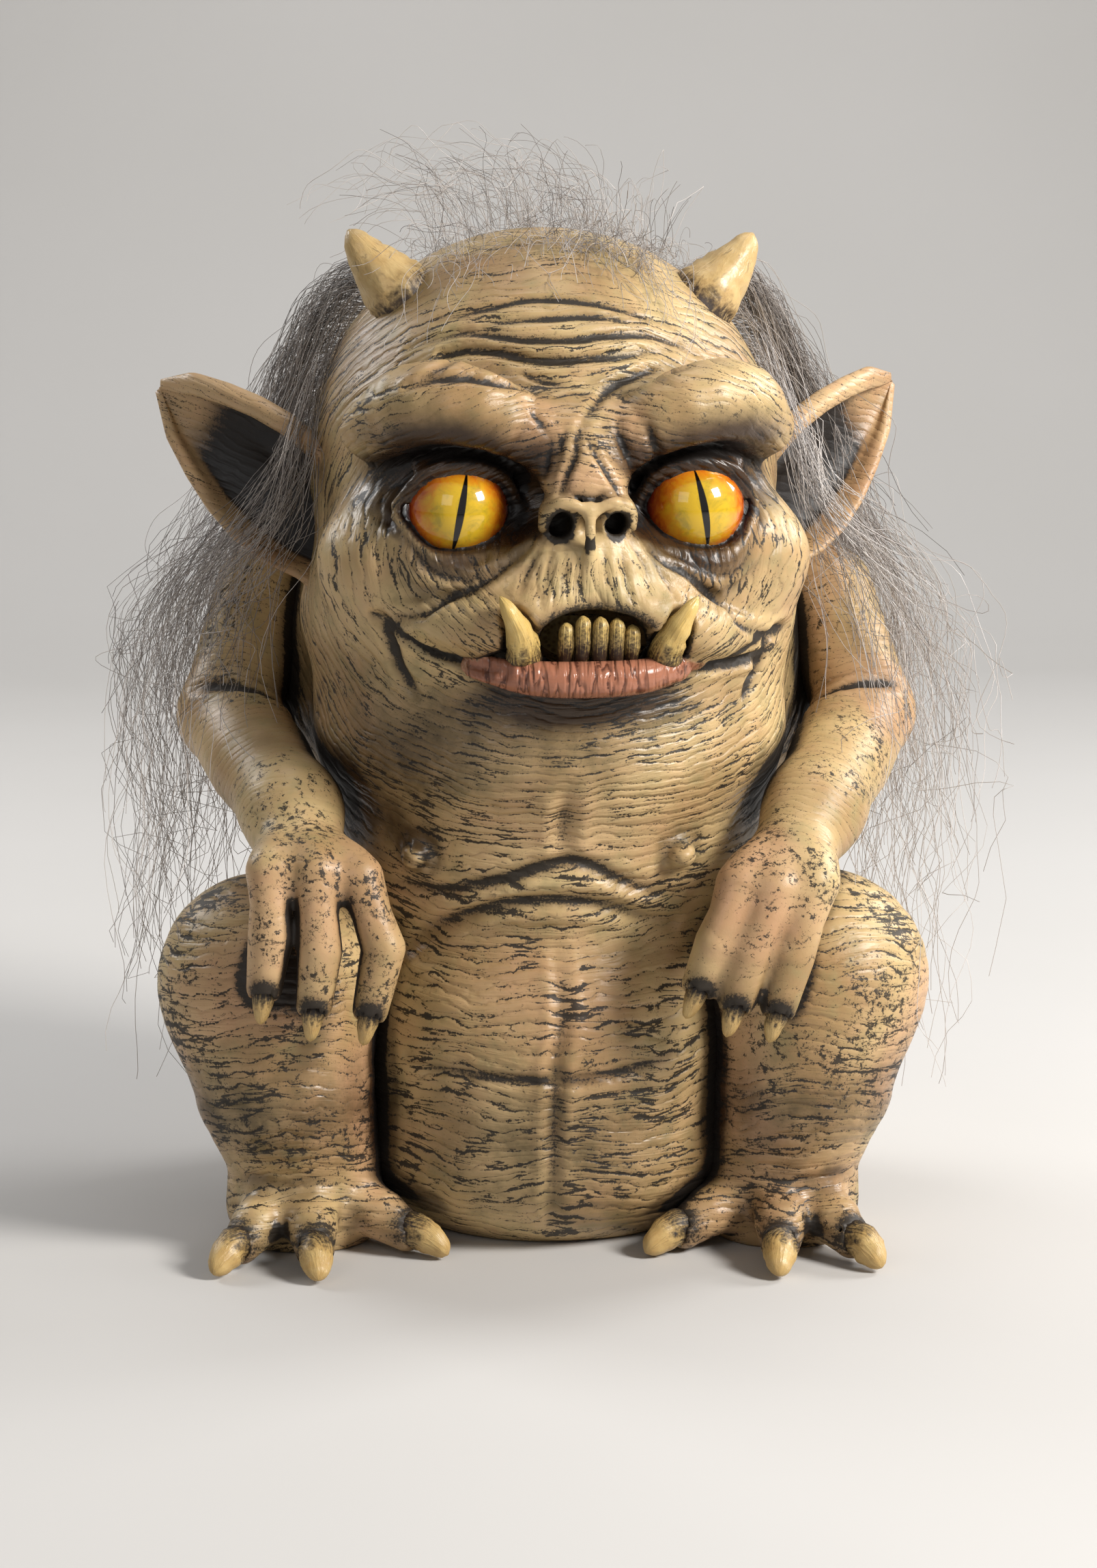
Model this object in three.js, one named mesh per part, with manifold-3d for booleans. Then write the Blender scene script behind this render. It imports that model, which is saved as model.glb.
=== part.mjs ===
// A squatting halloween goblin figure: painted latex castings round a foam core, with set-in
// eyes, horns, teeth, tusks and claws, and hair glued to the scalp.
// Millimetres, +Z up. The figure faces -Y and sits on z = 0, with the origin at the middle of
// its base plug. Left and right are the figure's own, so its left side is +X.

import * as THREE from "three";
import { mergeVertices } from "three/addons/utils/BufferGeometryUtils.js";
import Module from "manifold-3d";

const wasm = await Module();
wasm.setup();

// Seats: the glue line round every set-in piece, how far a peg goes in, and the shortest edge
// that a cut may leave.
const GLUE_GAP = 0.3;
const PEG_DEPTH = 10;
const SHORTEST_EDGE = 0.02;

// Head
const HEAD_TOP = 317;
const SKULL_WIDTH = 150;
const SKULL_DEPTH = 158;
const SKULL_TALL = 146;
const SKULL_Y = 6;
const JAW_HEIGHT = 196;
const JAW_WIDTH = 158;
const JAW_DEPTH = 160;
const JAW_TALL = 92;
const JAW_Y = -6;
const HEAD_TURN_DEG = 6;
const HEAD_TURN_Y = -10;

// Torso
const POUCH_HEIGHT = 160;
const POUCH_WIDTH = 152;
const POUCH_DEPTH = 152;
const POUCH_TALL = 92;
const POUCH_Y = -8;
const CHEST_HEIGHT = 122;
const CHEST_WIDTH = 142;
const CHEST_DEPTH = 134;
const CHEST_TALL = 88;
const CHEST_Y = -4;
const BELLY_HEIGHT = 60;
const BELLY_WIDTH = 134;
const BELLY_DEPTH = 138;
const BELLY_TALL = 144;
const BELLY_Y = -8;
const BACK_HEIGHT = 148;
const BACK_WIDTH = 172;
const BACK_DEPTH = 104;
const BACK_TALL = 155;
const BACK_Y = 40;
const HUMP_HEIGHT = 184;
const HUMP_SPACING = 132;
const HUMP_WIDTH = 44;
const HUMP_DEPTH = 56;
const HUMP_TALL = 66;
const HUMP_Y = 44;
const RUMP_HEIGHT = 48;
const RUMP_WIDTH = 166;
const RUMP_DEPTH = 124;
const RUMP_TALL = 112;
const RUMP_Y = 28;

// Face, measured before the head is turned
const EYE_RADIUS = 15.5;
const EYE_SPACING = 72;
const EYE_HEIGHT = 235;
const EYE_Y = -67;
const LID_RADIUS = 4;
const BROW_HEIGHT = 262;
const BROW_SPACING = 75;
const BROW_WIDTH = 52;
const BROW_DEPTH = 36;
const BROW_TALL = 29;
const BROW_Y = -65;
const CHEEK_HEIGHT = 218;
const CHEEK_SPACING = 104;
const CHEEK_SIZE = 48;
const CHEEK_Y = -46;
const NOSE_HEIGHT = 235;
const NOSE_TIP_Y = -98;
const NOSE_WIDTH = 32;
const NOSE_RADIUS = 9;
const NOSTRIL_RADIUS = 4.2;
const NOSTRIL_DEPTH = 8;
const MUZZLE_HEIGHT = 211;
const MUZZLE_WIDTH = 88;
const MUZZLE_DEPTH = 56;
const MUZZLE_TALL = 40;
const MUZZLE_FRONT_Y = -96;
const MOUTH_HEIGHT = 197;
const MOUTH_WIDTH = 120;
const MOUTH_OPENING_WIDTH = 72;
const MOUTH_OPENING_TALL = 15;
const FLEW_RADIUS = 9;
const FOLD_WIDTH = 6;
const LIP_HEIGHT = 187;
const LIP_WIDTH = 66;
const LIP_RADIUS = 6;

// Lower teeth and tusks
const TOOTH_COUNT = 5;
const TOOTH_PITCH = 4.9;
const TOOTH_WIDTH = 4.3;
const TOOTH_DEPTH = 5;
const TOOTH_SHOWN = 13;
const TOOTH_ROOT = 9;
const TUSK_SPACING = 42;
const TUSK_WIDTH = 9;
const TUSK_SHOWN = 20;
const TUSK_LEAN = 9;

// Horns and ears
const HORN_WIDTH = 22;
const HORN_LENGTH = 25;
const HORN_SPREAD_DEG = 43;
const HORN_PEG_RADIUS = 5;
const EAR_HEIGHT = 234;
const EAR_LENGTH = 64;
const EAR_WIDTH = 40;
const EAR_THICK = 4;
const EAR_CUP = 11;
const EAR_PEG_RADIUS = 4;

// Legs, set a little to the right of the middle
const LEG_SHIFT = -3;
const KNEE_HEIGHT = 84;
const KNEE_SPACING = 174;
const KNEE_Y = -44;
const KNEE_WIDTH = 64;
const HIP_HEIGHT = 46;
const HIP_SPACING = 120;
const HIP_Y = 36;
const THIGH_WIDTH = 66;
const ANKLE_HEIGHT = 28;
const ANKLE_SPACING = 152;
const ANKLE_Y = -42;
const ANKLE_WIDTH = 52;
const TOE_WIDTH = 15;
const TOE_REACH = 37;
const LEG_PEG_RADIUS = 10;

// Arms
const SHOULDER_HEIGHT = 196;
const SHOULDER_SPACING = 184;
const SHOULDER_Y = 40;
const UPPER_ARM_WIDTH = 30;
const ELBOW_HEIGHT = 160;
const ELBOW_SPACING = 208;
const ELBOW_Y = 12;
const FOREARM_WIDTH = 31;
const WRIST_HEIGHT = 139;
const WRIST_SPACING = 163;
const WRIST_Y = -48;
const HAND_WIDTH = 44;
const HAND_THICK = 22;
const FINGER_WIDTH = 12;
const ARM_PEG_RADIUS = 7;

// Claws
const FINGER_CLAW_WIDTH = 6.8;
const FINGER_CLAW_LENGTH = 10;
const TOE_CLAW_WIDTH = 10;
const TOE_CLAW_LENGTH = 13;
const CLAW_ROOT = 5;

// Foam core and base plug
const SKIN_THICK = 14;
const PLUG_WIDTH = 68;
const PLUG_THICK = 6;

// Hair
const CROWN_RISE = 26;
const CROWN_WIDTH = 84;
const TUFT_COUNT = 5;
const TUFT_WIDTH = 15;
const SIDE_HAIR_SPREAD = 266;
const SIDE_HAIR_LENGTH = 250;
const SIDE_LOCK_WIDTH = 23;
const TEMPLE_LOCK_WIDTH = 18;
const TEMPLE_LOCK_Y = -16;
const BACK_HAIR_WIDTH = 112;
const BACK_HAIR_END = 60;
const BACK_LOCK_COUNT = 4;
const BACK_LOCK_THICK = 24;

const SIDES = { left: 1, right: -1 };
const ACROSS = new THREE.Vector3(1, 0, 0);
const UP = new THREE.Vector3(0, 0, 1);
const v = (x, y, z) => new THREE.Vector3(x, y, z);
const radians = THREE.MathUtils.degToRad;

// Solids and booleans

function solid(geometry) {
  const bare = geometry.clone();
  bare.deleteAttribute("normal");
  bare.deleteAttribute("uv");
  const merged = mergeVertices(bare, 1e-4);
  const mesh = new wasm.Mesh({
    numProp: 3,
    vertProperties: new Float32Array(merged.attributes.position.array),
    triVerts: new Uint32Array(merged.index.array),
  });
  return new wasm.Manifold(mesh);
}

// Numbered things sorted into groups by joining pairs of them.
function grouping(count) {
  const parent = Array.from({ length: count }, (unused, i) => i);
  const root = (i) => (parent[i] === i ? i : root(parent[i]));
  const join = (a, b) => {
    parent[root(a)] = root(b);
  };
  return { root, join };
}

// The largest set of triangles that hang together by their edges.
function mainShell(triangles) {
  const shells = grouping(triangles.length);
  const seen = new Map();
  triangles.forEach((triangle, t) => triangle.forEach((a, k) => {
    const b = triangle[(k + 1) % 3];
    const edge = `${Math.min(a, b)},${Math.max(a, b)}`;
    shells.join(t, seen.get(edge) ?? t);
    seen.set(edge, t);
  }));
  const sizes = new Map();
  triangles.forEach((unused, t) => sizes.set(shells.root(t), (sizes.get(shells.root(t)) ?? 0) + 1));
  const largest = [...sizes].sort((a, b) => b[1] - a[1])[0][0];
  return triangles.filter((unused, t) => shells.root(t) === largest);
}

// The triangles of a solid, with edges shorter than SHORTEST_EDGE drawn together and without the
// crumbs that a cut can leave beside the main shell.
function geometryOf(manifold) {
  const { vertProperties, triVerts } = manifold.getMesh();
  const corner = (i) => v(0, 0, 0).fromArray(vertProperties, 3 * i);
  const corners = grouping(vertProperties.length / 3);
  triVerts.forEach((a, t) => {
    const b = triVerts[t % 3 === 2 ? t - 2 : t + 1];
    if (corner(a).distanceTo(corner(b)) < SHORTEST_EDGE) {
      corners.join(a, b);
    }
  });
  const kept = new Map();
  for (let t = 0; t < triVerts.length; t += 3) {
    const triangle = [0, 1, 2].map((k) => corners.root(triVerts[t + k]));
    const key = [...triangle].sort((a, b) => a - b).join();
    if (new Set(triangle).size === 3 && !kept.delete(key)) {
      kept.set(key, triangle);
    }
  }
  const geometry = new THREE.BufferGeometry();
  geometry.setAttribute("position", new THREE.BufferAttribute(vertProperties, 3));
  geometry.setIndex(mainShell([...kept.values()]).flat());
  geometry.computeVertexNormals();
  return geometry;
}

// Closed skin over a stack of rings with one pole beyond each end.
function closedLoft(rings, firstPole, lastPole) {
  const points = [firstPole, ...rings.flat(), lastPole];
  const count = rings[0].length;
  const topRing = 1 + (rings.length - 1) * count;
  const triangles = [];
  for (let j = 0; j < count; j += 1) {
    const k = (j + 1) % count;
    triangles.push(0, 1 + k, 1 + j);
    for (let lower = 1; lower < topRing; lower += count) {
      const upper = lower + count;
      triangles.push(lower + j, lower + k, upper + k, lower + j, upper + k, upper + j);
    }
    triangles.push(points.length - 1, topRing + j, topRing + k);
  }
  const geometry = new THREE.BufferGeometry();
  geometry.setFromPoints(points);
  geometry.setIndex(triangles);
  return solid(geometry);
}

const station = (at, wide, deep = wide) => ({ at, wide, deep });

// Round-ended loft of oval sections along a smooth path. A station is a point with the width of
// its section, measured along "across", and the depth.
function ovalLoft(stations, { across = ACROSS, sides = 8, steps = 4, grow = 0 } = {}) {
  const path = new THREE.CatmullRomCurve3(stations.map((s) => s.at), false, "centripetal");
  const spans = stations.map((s) => v(s.wide / 2 + grow, s.deep / 2 + grow, 0));
  const sizes = new THREE.CatmullRomCurve3(spans, false, "centripetal");
  const centreAt = (u, push) => {
    const size = sizes.getPoint(u);
    return path.getPoint(u).addScaledVector(path.getTangent(u), push * Math.min(size.x, size.y));
  };
  const ringAt = (u, shrink, push) => {
    const tangent = path.getTangent(u);
    const deepAxis = v(0, 0, 0).crossVectors(tangent, across).normalize();
    const wideAxis = v(0, 0, 0).crossVectors(deepAxis, tangent);
    const size = sizes.getPoint(u).multiplyScalar(shrink);
    return Array.from({ length: sides }, (unused, j) => {
      const turn = (j / sides) * 2 * Math.PI;
      const point = centreAt(u, push).addScaledVector(wideAxis, size.x * Math.cos(turn));
      return point.addScaledVector(deepAxis, size.y * Math.sin(turn));
    });
  };
  const dome = Math.SQRT1_2;
  const rings = [ringAt(0, dome, -dome)];
  for (let i = 0; i <= steps; i += 1) {
    rings.push(ringAt(i / steps, 1, 0));
  }
  rings.push(ringAt(1, dome, dome));
  return closedLoft(rings, centreAt(0, -1), centreAt(1, 1));
}

const joinAll = (forms) => forms.reduce((all, form) => all.add(form));

function peg(from, to, radius, grow = 0) {
  const along = to.clone().sub(from);
  const length = along.length() + 2 * grow;
  const geometry = new THREE.CylinderGeometry(radius + grow, radius + grow, length, 12);
  geometry.applyQuaternion(new THREE.Quaternion().setFromUnitVectors(v(0, 1, 0), along.normalize()));
  geometry.translate(...from.clone().lerp(to, 0.5).toArray());
  return solid(geometry);
}

// The sculpted skin is a distance field: forms swell out of it or hollow it, each with its own
// softness of blend.

const ball = (x, y, z, wide, deep, tall) => (p) => {
  const radii = v(wide / 2, deep / 2, tall / 2);
  const near = v(p.x - x, p.y - y, p.z - z).divide(radii);
  const slope = near.clone().divide(radii).length();
  return slope === 0 ? -Math.min(wide, deep, tall) / 2 : (near.length() * (near.length() - 1)) / slope;
};

// A rope of round sections: each knot is a point with the radius there.
const rope = (...knots) => (p) => {
  let nearest = Infinity;
  for (let i = 0; i + 1 < knots.length; i += 1) {
    const [a, b] = [knots[i], knots[i + 1]];
    const along = b.at.clone().sub(a.at);
    const share = THREE.MathUtils.clamp(p.clone().sub(a.at).dot(along) / along.lengthSq(), 0, 1);
    const radius = THREE.MathUtils.lerp(a.radius, b.radius, share);
    nearest = Math.min(nearest, p.distanceTo(a.at.clone().lerp(b.at, share)) - radius);
  }
  return nearest;
};

const knot = (x, y, z, radius) => ({ at: v(x, y, z), radius });
const swell = (shape, soft) => ({ shape, soft, sign: 1 });
const hollow = (shape, soft) => ({ shape, soft, sign: -1 });
const bothSides = (make) => Object.values(SIDES).flatMap((side) => make(side));

function softUnion(a, b, soft) {
  const mix = Math.max(soft - Math.abs(a - b), 0) / soft;
  return Math.min(a, b) - (mix * mix * soft) / 4;
}

const SKULL_HEIGHT = HEAD_TOP - SKULL_TALL / 2;
const LIP_Y = MUZZLE_FRONT_Y + 3;
const CORNER_X = MOUTH_WIDTH / 2;
const CORNER_Y = LIP_Y + 33;

const torsoForms = [
  swell(ball(0, BACK_Y, BACK_HEIGHT, BACK_WIDTH, BACK_DEPTH, BACK_TALL), 20),
  swell(ball(0, RUMP_Y, RUMP_HEIGHT, RUMP_WIDTH, RUMP_DEPTH, RUMP_TALL), 24),
  swell(ball(0, BELLY_Y, BELLY_HEIGHT, BELLY_WIDTH, BELLY_DEPTH, BELLY_TALL), 14),
  swell(ball(0, CHEST_Y, CHEST_HEIGHT, CHEST_WIDTH, CHEST_DEPTH, CHEST_TALL), 8),
  swell(ball(0, POUCH_Y, POUCH_HEIGHT, POUCH_WIDTH, POUCH_DEPTH, POUCH_TALL), 16),
  ...bothSides((side) => [
    swell(ball((side * HUMP_SPACING) / 2, HUMP_Y, HUMP_HEIGHT, HUMP_WIDTH, HUMP_DEPTH, HUMP_TALL), 18),
  ]),
];

// Brow, cheek, eye socket, lower lid, nose wing and the hanging upper lip of one side.
function faceSide(side) {
  const eye = (out) => side * (EYE_SPACING / 2 + out);
  const wing = side * (NOSE_WIDTH / 2 - NOSE_RADIUS + 1);
  return [
    swell(ball((side * BROW_SPACING) / 2, BROW_Y, BROW_HEIGHT, BROW_WIDTH, BROW_DEPTH, BROW_TALL), 12),
    swell(ball((side * CHEEK_SPACING) / 2, CHEEK_Y, CHEEK_HEIGHT, CHEEK_SIZE, CHEEK_SIZE, 0.8 * CHEEK_SIZE), 18),
    hollow(ball(eye(0), EYE_Y, EYE_HEIGHT, 2 * EYE_RADIUS + 4, 2 * EYE_RADIUS + 4, 2 * EYE_RADIUS + 2), 4),
    swell(
      rope(
        knot(eye(-16), EYE_Y - 8, EYE_HEIGHT - 7, LID_RADIUS),
        knot(eye(-5), EYE_Y - 13, EYE_HEIGHT - 14, LID_RADIUS),
        knot(eye(6), EYE_Y - 12, EYE_HEIGHT - 14, LID_RADIUS),
        knot(eye(17), EYE_Y - 3, EYE_HEIGHT - 6, LID_RADIUS),
      ),
      4,
    ),
    swell(ball(wing, NOSE_TIP_Y + 7, NOSE_HEIGHT, 15, 16, 14), 5),
    swell(
      rope(
        knot(side * 10, LIP_Y, MOUTH_HEIGHT + 9, 0.8 * FLEW_RADIUS),
        knot(0.56 * side * CORNER_X, LIP_Y + 9, MOUTH_HEIGHT + 3, FLEW_RADIUS),
        knot(0.9 * side * CORNER_X, CORNER_Y - 5, MOUTH_HEIGHT + 6, 0.8 * FLEW_RADIUS),
      ),
      6,
    ),
  ];
}

const MOUTH_OPENING_DEPTH = 38;
const NOSE_ROOT_Y = SKULL_Y - SKULL_DEPTH / 2 - 3;

const skullForms = [
  swell(ball(0, JAW_Y, JAW_HEIGHT, JAW_WIDTH, JAW_DEPTH, JAW_TALL), 14),
  swell(ball(0, SKULL_Y, SKULL_HEIGHT, SKULL_WIDTH, SKULL_DEPTH, SKULL_TALL), 16),
];

const faceForms = [
  swell(ball(0, BROW_Y - 5, BROW_HEIGHT - 6, 0.6 * BROW_WIDTH, 28, 0.9 * BROW_TALL), 8),
  swell(
    ball(0, MUZZLE_FRONT_Y + MUZZLE_DEPTH / 2, MUZZLE_HEIGHT, MUZZLE_WIDTH, MUZZLE_DEPTH, MUZZLE_TALL),
    10,
  ),
  swell(
    rope(
      knot(0, NOSE_ROOT_Y, NOSE_HEIGHT + 22, NOSE_RADIUS),
      knot(0, NOSE_TIP_Y + NOSE_RADIUS, NOSE_HEIGHT + 3, NOSE_RADIUS),
    ),
    6,
  ),
  ...bothSides(faceSide),
  hollow(
    ball(0, LIP_Y - 4, MOUTH_HEIGHT, MOUTH_OPENING_WIDTH, MOUTH_OPENING_DEPTH, MOUTH_OPENING_TALL),
    3,
  ),
  swell(
    rope(
      knot(-LIP_WIDTH / 2, LIP_Y + 9, LIP_HEIGHT + 2, 0.7 * LIP_RADIUS),
      knot(-0.21 * LIP_WIDTH, LIP_Y, LIP_HEIGHT, LIP_RADIUS),
      knot(0.21 * LIP_WIDTH, LIP_Y, LIP_HEIGHT, LIP_RADIUS),
      knot(LIP_WIDTH / 2, LIP_Y + 9, LIP_HEIGHT + 2, 0.7 * LIP_RADIUS),
    ),
    4,
  ),
];

// The head is turned a little on the body, about an upright line.
const HEAD_AXIS = v(0, HEAD_TURN_Y, 0);
const turned = (point, angle) => point.clone().sub(HEAD_AXIS).applyAxisAngle(UP, angle).add(HEAD_AXIS);
const ontoHead = (x, y, z) => turned(v(x, y, z), radians(HEAD_TURN_DEG));
const headDirection = (x, y, z) => v(x, y, z).normalize().applyAxisAngle(UP, radians(HEAD_TURN_DEG));

function pressed(forms, at, start) {
  const press = (distance, { shape, soft, sign }) => sign * softUnion(sign * distance, shape(at), soft);
  return forms.reduce(press, start);
}

// Distance to the body without its face, and to the whole skin.
function bulkDistance(point) {
  const outside = 1e3;
  return pressed(skullForms, turned(point, -radians(HEAD_TURN_DEG)), pressed(torsoForms, point, outside));
}

function skinDistance(point) {
  return pressed(faceForms, turned(point, -radians(HEAD_TURN_DEG)), bulkDistance(point));
}

// Where a ray coming in from outside meets the skin, or another surface.
function skinAlong(origin, direction, grow = 0, distanceTo = skinDistance) {
  const at = (reach) => origin.clone().addScaledVector(direction, reach);
  let reach = 1.2 * SKULL_DEPTH;
  let distance = distanceTo(at(reach)) - grow;
  while (distance > 0.02 && reach > 0) {
    reach -= Math.max(0.6 * distance, 0.01);
    distance = distanceTo(at(reach)) - grow;
  }
  return at(reach);
}

// Loft of the whole skin: level rings up to the brow, then rings that tip up to the crown. The
// face has the narrowest columns and rows.
const SPINE_Y = 5;
const BROW_RING = EYE_HEIGHT + 13;

function skinColumns() {
  const face = [0, 3.6, 7.2, 11, 15, 19, 23.2, 27.8, 33, 39, 46];
  const rear = [54, 65, 80, 100, 130];
  const half = [...face, ...rear];
  return [...half.slice(1).reverse().map((angle) => -angle), ...half, 180].map(radians);
}

const levels = (from, to, count) =>
  Array.from({ length: count }, (unused, i) => ({ z: from + ((to - from) * i) / count, tip: 0 }));
const tipped = (tipsDeg) => tipsDeg.map((tip) => ({ z: BROW_RING, tip: radians(tip) }));

function skinRows() {
  const faceFoot = LIP_HEIGHT - 16;
  return [
    ...levels(0, faceFoot, 10),
    ...levels(faceFoot, BROW_RING, 16),
    ...tipped([0, 4.5, 9, 14, 20, 27, 37, 50, 67]),
  ];
}

// One ring of a body loft: where the rays of every column meet the surface.
function bodyRing({ z, tip }, columns, grow, distanceTo) {
  const level = Math.cos(tip);
  return columns.map((angle) => {
    const direction = v(level * Math.sin(angle), -level * Math.cos(angle), Math.sin(tip));
    return skinAlong(v(0, SPINE_Y, z), direction, grow, distanceTo);
  });
}

function skinForm(grow) {
  const columns = skinColumns();
  const rings = skinRows().map((row) => bodyRing(row, columns, grow, skinDistance));
  const foot = -10 * grow;
  rings[0].forEach((point) => point.setZ(foot));
  const crown = skinAlong(v(0, SPINE_Y, BROW_RING), UP, grow);
  return closedLoft(rings, v(0, SPINE_Y, foot), crown);
}

const grownSkin = skinForm(GLUE_GAP);

// A fold that follows the face through points given by their reach across the mouth, as a share
// of the way to its corner, and their height.
function faceFold(side, points, width) {
  const stations = points.map(([share, z], i) => {
    const toward = headDirection(side * share * CORNER_X, CORNER_Y - SPINE_Y, 0);
    const taper = i === 0 || i === points.length - 1 ? 0.5 : 1;
    return station(skinAlong(v(0, SPINE_Y, z), toward), taper * width, width);
  });
  return ovalLoft(stations, { across: UP, sides: 4, steps: 4 });
}

function mouthCorner(side) {
  const points = [[0.4, MOUTH_HEIGHT - 4], [0.7, MOUTH_HEIGHT - 3], [1, MOUTH_HEIGHT + 5]];
  return faceFold(side, points, FOLD_WIDTH);
}

function cheekFold(side) {
  const points = [[0.24, NOSE_HEIGHT - 8], [0.55, MOUTH_HEIGHT + 18], [1.03, MOUTH_HEIGHT + 8]];
  return faceFold(side, points, 0.7 * FOLD_WIDTH);
}

function belowFloor() {
  const size = 2 * HEAD_TOP;
  const geometry = new THREE.BoxGeometry(size, size, size);
  geometry.translate(0, 0, -size / 2);
  return solid(geometry);
}

// Foam core and base plug, one above the other in the hollow of the skin. The core follows the
// body a wall's thickness inside the skin, and narrows to the plug at its foot.
const CORE_COLUMNS = 14;
const CORE_FOOT_RISE = 30;

function coreForm(grow) {
  const foot = PLUG_THICK + GLUE_GAP - grow;
  const inset = grow - SKIN_THICK;
  const columns = Array.from({ length: CORE_COLUMNS }, (unused, i) => (i / CORE_COLUMNS) * 2 * Math.PI);
  const rows = [...levels(CORE_FOOT_RISE, BROW_RING, 8), ...tipped([0, 26, 52])];
  const footRadius = PLUG_WIDTH / 2 - 2 + grow;
  const footRing = columns.map((angle) => v(footRadius * Math.sin(angle), -footRadius * Math.cos(angle), foot));
  const rings = rows.map((row) => bodyRing(row, columns, inset, bulkDistance));
  const crown = skinAlong(v(0, SPINE_Y, BROW_RING), UP, inset, bulkDistance);
  return closedLoft([footRing, ...rings], v(0, 0, foot), crown);
}

const plugForm = (grow) => peg(v(0, 0, 0), v(0, 0, PLUG_THICK), PLUG_WIDTH / 2, grow);

// Eyes and nostrils

function eyeForm(side, grow) {
  const geometry = new THREE.SphereGeometry(EYE_RADIUS + grow, 12, 8);
  geometry.translate(...ontoHead((side * EYE_SPACING) / 2, EYE_Y, EYE_HEIGHT).toArray());
  return solid(geometry);
}

function nostrilForm(side) {
  const x = (side * (NOSE_WIDTH - 2 * NOSE_RADIUS + 1)) / 2;
  const geometry = new THREE.SphereGeometry(1, 10, 8);
  geometry.scale(NOSTRIL_RADIUS, NOSTRIL_DEPTH, 1.1 * NOSTRIL_RADIUS);
  geometry.translate(...ontoHead(x, NOSE_TIP_Y - 1, NOSE_HEIGHT - 2.5).toArray());
  return solid(geometry);
}

// Lower teeth and tusks, rooted behind the lip and bowed with the jaw.
const TEETH_Y = LIP_Y + 3;
const GUM = LIP_HEIGHT + LIP_RADIUS;
const JAW_BOW = 0.012;

function toothForm(index, grow) {
  const x = (index - (TOOTH_COUNT - 1) / 2) * TOOTH_PITCH;
  const y = TEETH_Y + JAW_BOW * x * x;
  const tip = GUM + TOOTH_SHOWN - 3 * JAW_BOW * x * x - TOOTH_WIDTH / 2;
  const stations = [
    station(ontoHead(x, y, GUM - TOOTH_ROOT), 0.8 * TOOTH_WIDTH, 0.85 * TOOTH_DEPTH),
    station(ontoHead(x, y, GUM), TOOTH_WIDTH, TOOTH_DEPTH),
    station(ontoHead(x, y - 0.6, tip), 0.85 * TOOTH_WIDTH, 0.8 * TOOTH_DEPTH),
  ];
  return ovalLoft(stations, { sides: 6, steps: 2, grow });
}

function tuskForm(side, grow) {
  const x = (share) => side * (TUSK_SPACING / 2 + share * TUSK_LEAN);
  const stations = [
    station(ontoHead(x(0), TEETH_Y + 2, GUM - TOOTH_ROOT), 0.9 * TUSK_WIDTH),
    station(ontoHead(x(0.1), TEETH_Y, GUM), TUSK_WIDTH),
    station(ontoHead(x(0.5), TEETH_Y - 3, GUM + 0.55 * TUSK_SHOWN), 0.7 * TUSK_WIDTH),
    station(ontoHead(x(1), TEETH_Y - 2, GUM + 0.93 * TUSK_SHOWN), 0.3 * TUSK_WIDTH),
  ];
  return ovalLoft(stations, { sides: 8, steps: 5, grow });
}

// Horns stand on the scalp and lean out, each on a peg.
function hornLine(side) {
  const spread = radians(HORN_SPREAD_DEG);
  const toSeat = headDirection(side * Math.sin(spread), -0.22, Math.cos(spread));
  const seat = skinAlong(v(0, SPINE_Y, SKULL_HEIGHT), toSeat);
  const lean = headDirection(side * 0.62, 0.1, 0.78);
  return (reach) => seat.clone().addScaledVector(lean, reach);
}

function hornForm(side) {
  const at = hornLine(side);
  const sway = v(side * 0.03 * HORN_LENGTH, 0, 0);
  const stations = [
    station(at(-0.25 * HORN_LENGTH), HORN_WIDTH),
    station(at(0.1 * HORN_LENGTH), 0.95 * HORN_WIDTH),
    station(at(0.5 * HORN_LENGTH).add(sway), 0.62 * HORN_WIDTH),
    station(at(0.88 * HORN_LENGTH), 0.3 * HORN_WIDTH),
  ];
  return ovalLoft(stations, { sides: 10, steps: 5 });
}

function hornPeg(side, grow) {
  const at = hornLine(side);
  return peg(at(0.3 * HORN_LENGTH), at(-PEG_DEPTH), HORN_PEG_RADIUS, grow);
}

// Ears: cupped leaves that sweep out, back and a little up from the sides of the head.
function earFrame(side) {
  const along = headDirection(side * 0.72, 0.53, 0.45);
  const upright = UP.clone().addScaledVector(along, -along.z).normalize();
  const back = v(0, 0, 0).crossVectors(upright, along).multiplyScalar(side);
  const seat = skinAlong(v(0, SPINE_Y, EAR_HEIGHT), headDirection(side, -0.06, 0));
  const at = (reach, rise) =>
    seat.clone().addScaledVector(along, reach * EAR_LENGTH).addScaledVector(upright, rise * EAR_WIDTH);
  return { along, upright, back, seat, at };
}

const EAR_WIDTH_SHARES = [0.86, 0.98, 1, 0.86, 0.62, 0.36, 0.12];

// The cup's walls are steep, so a gap across them takes this much more along the way back.
const EAR_WALL_SLANT = 2.4;

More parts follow.
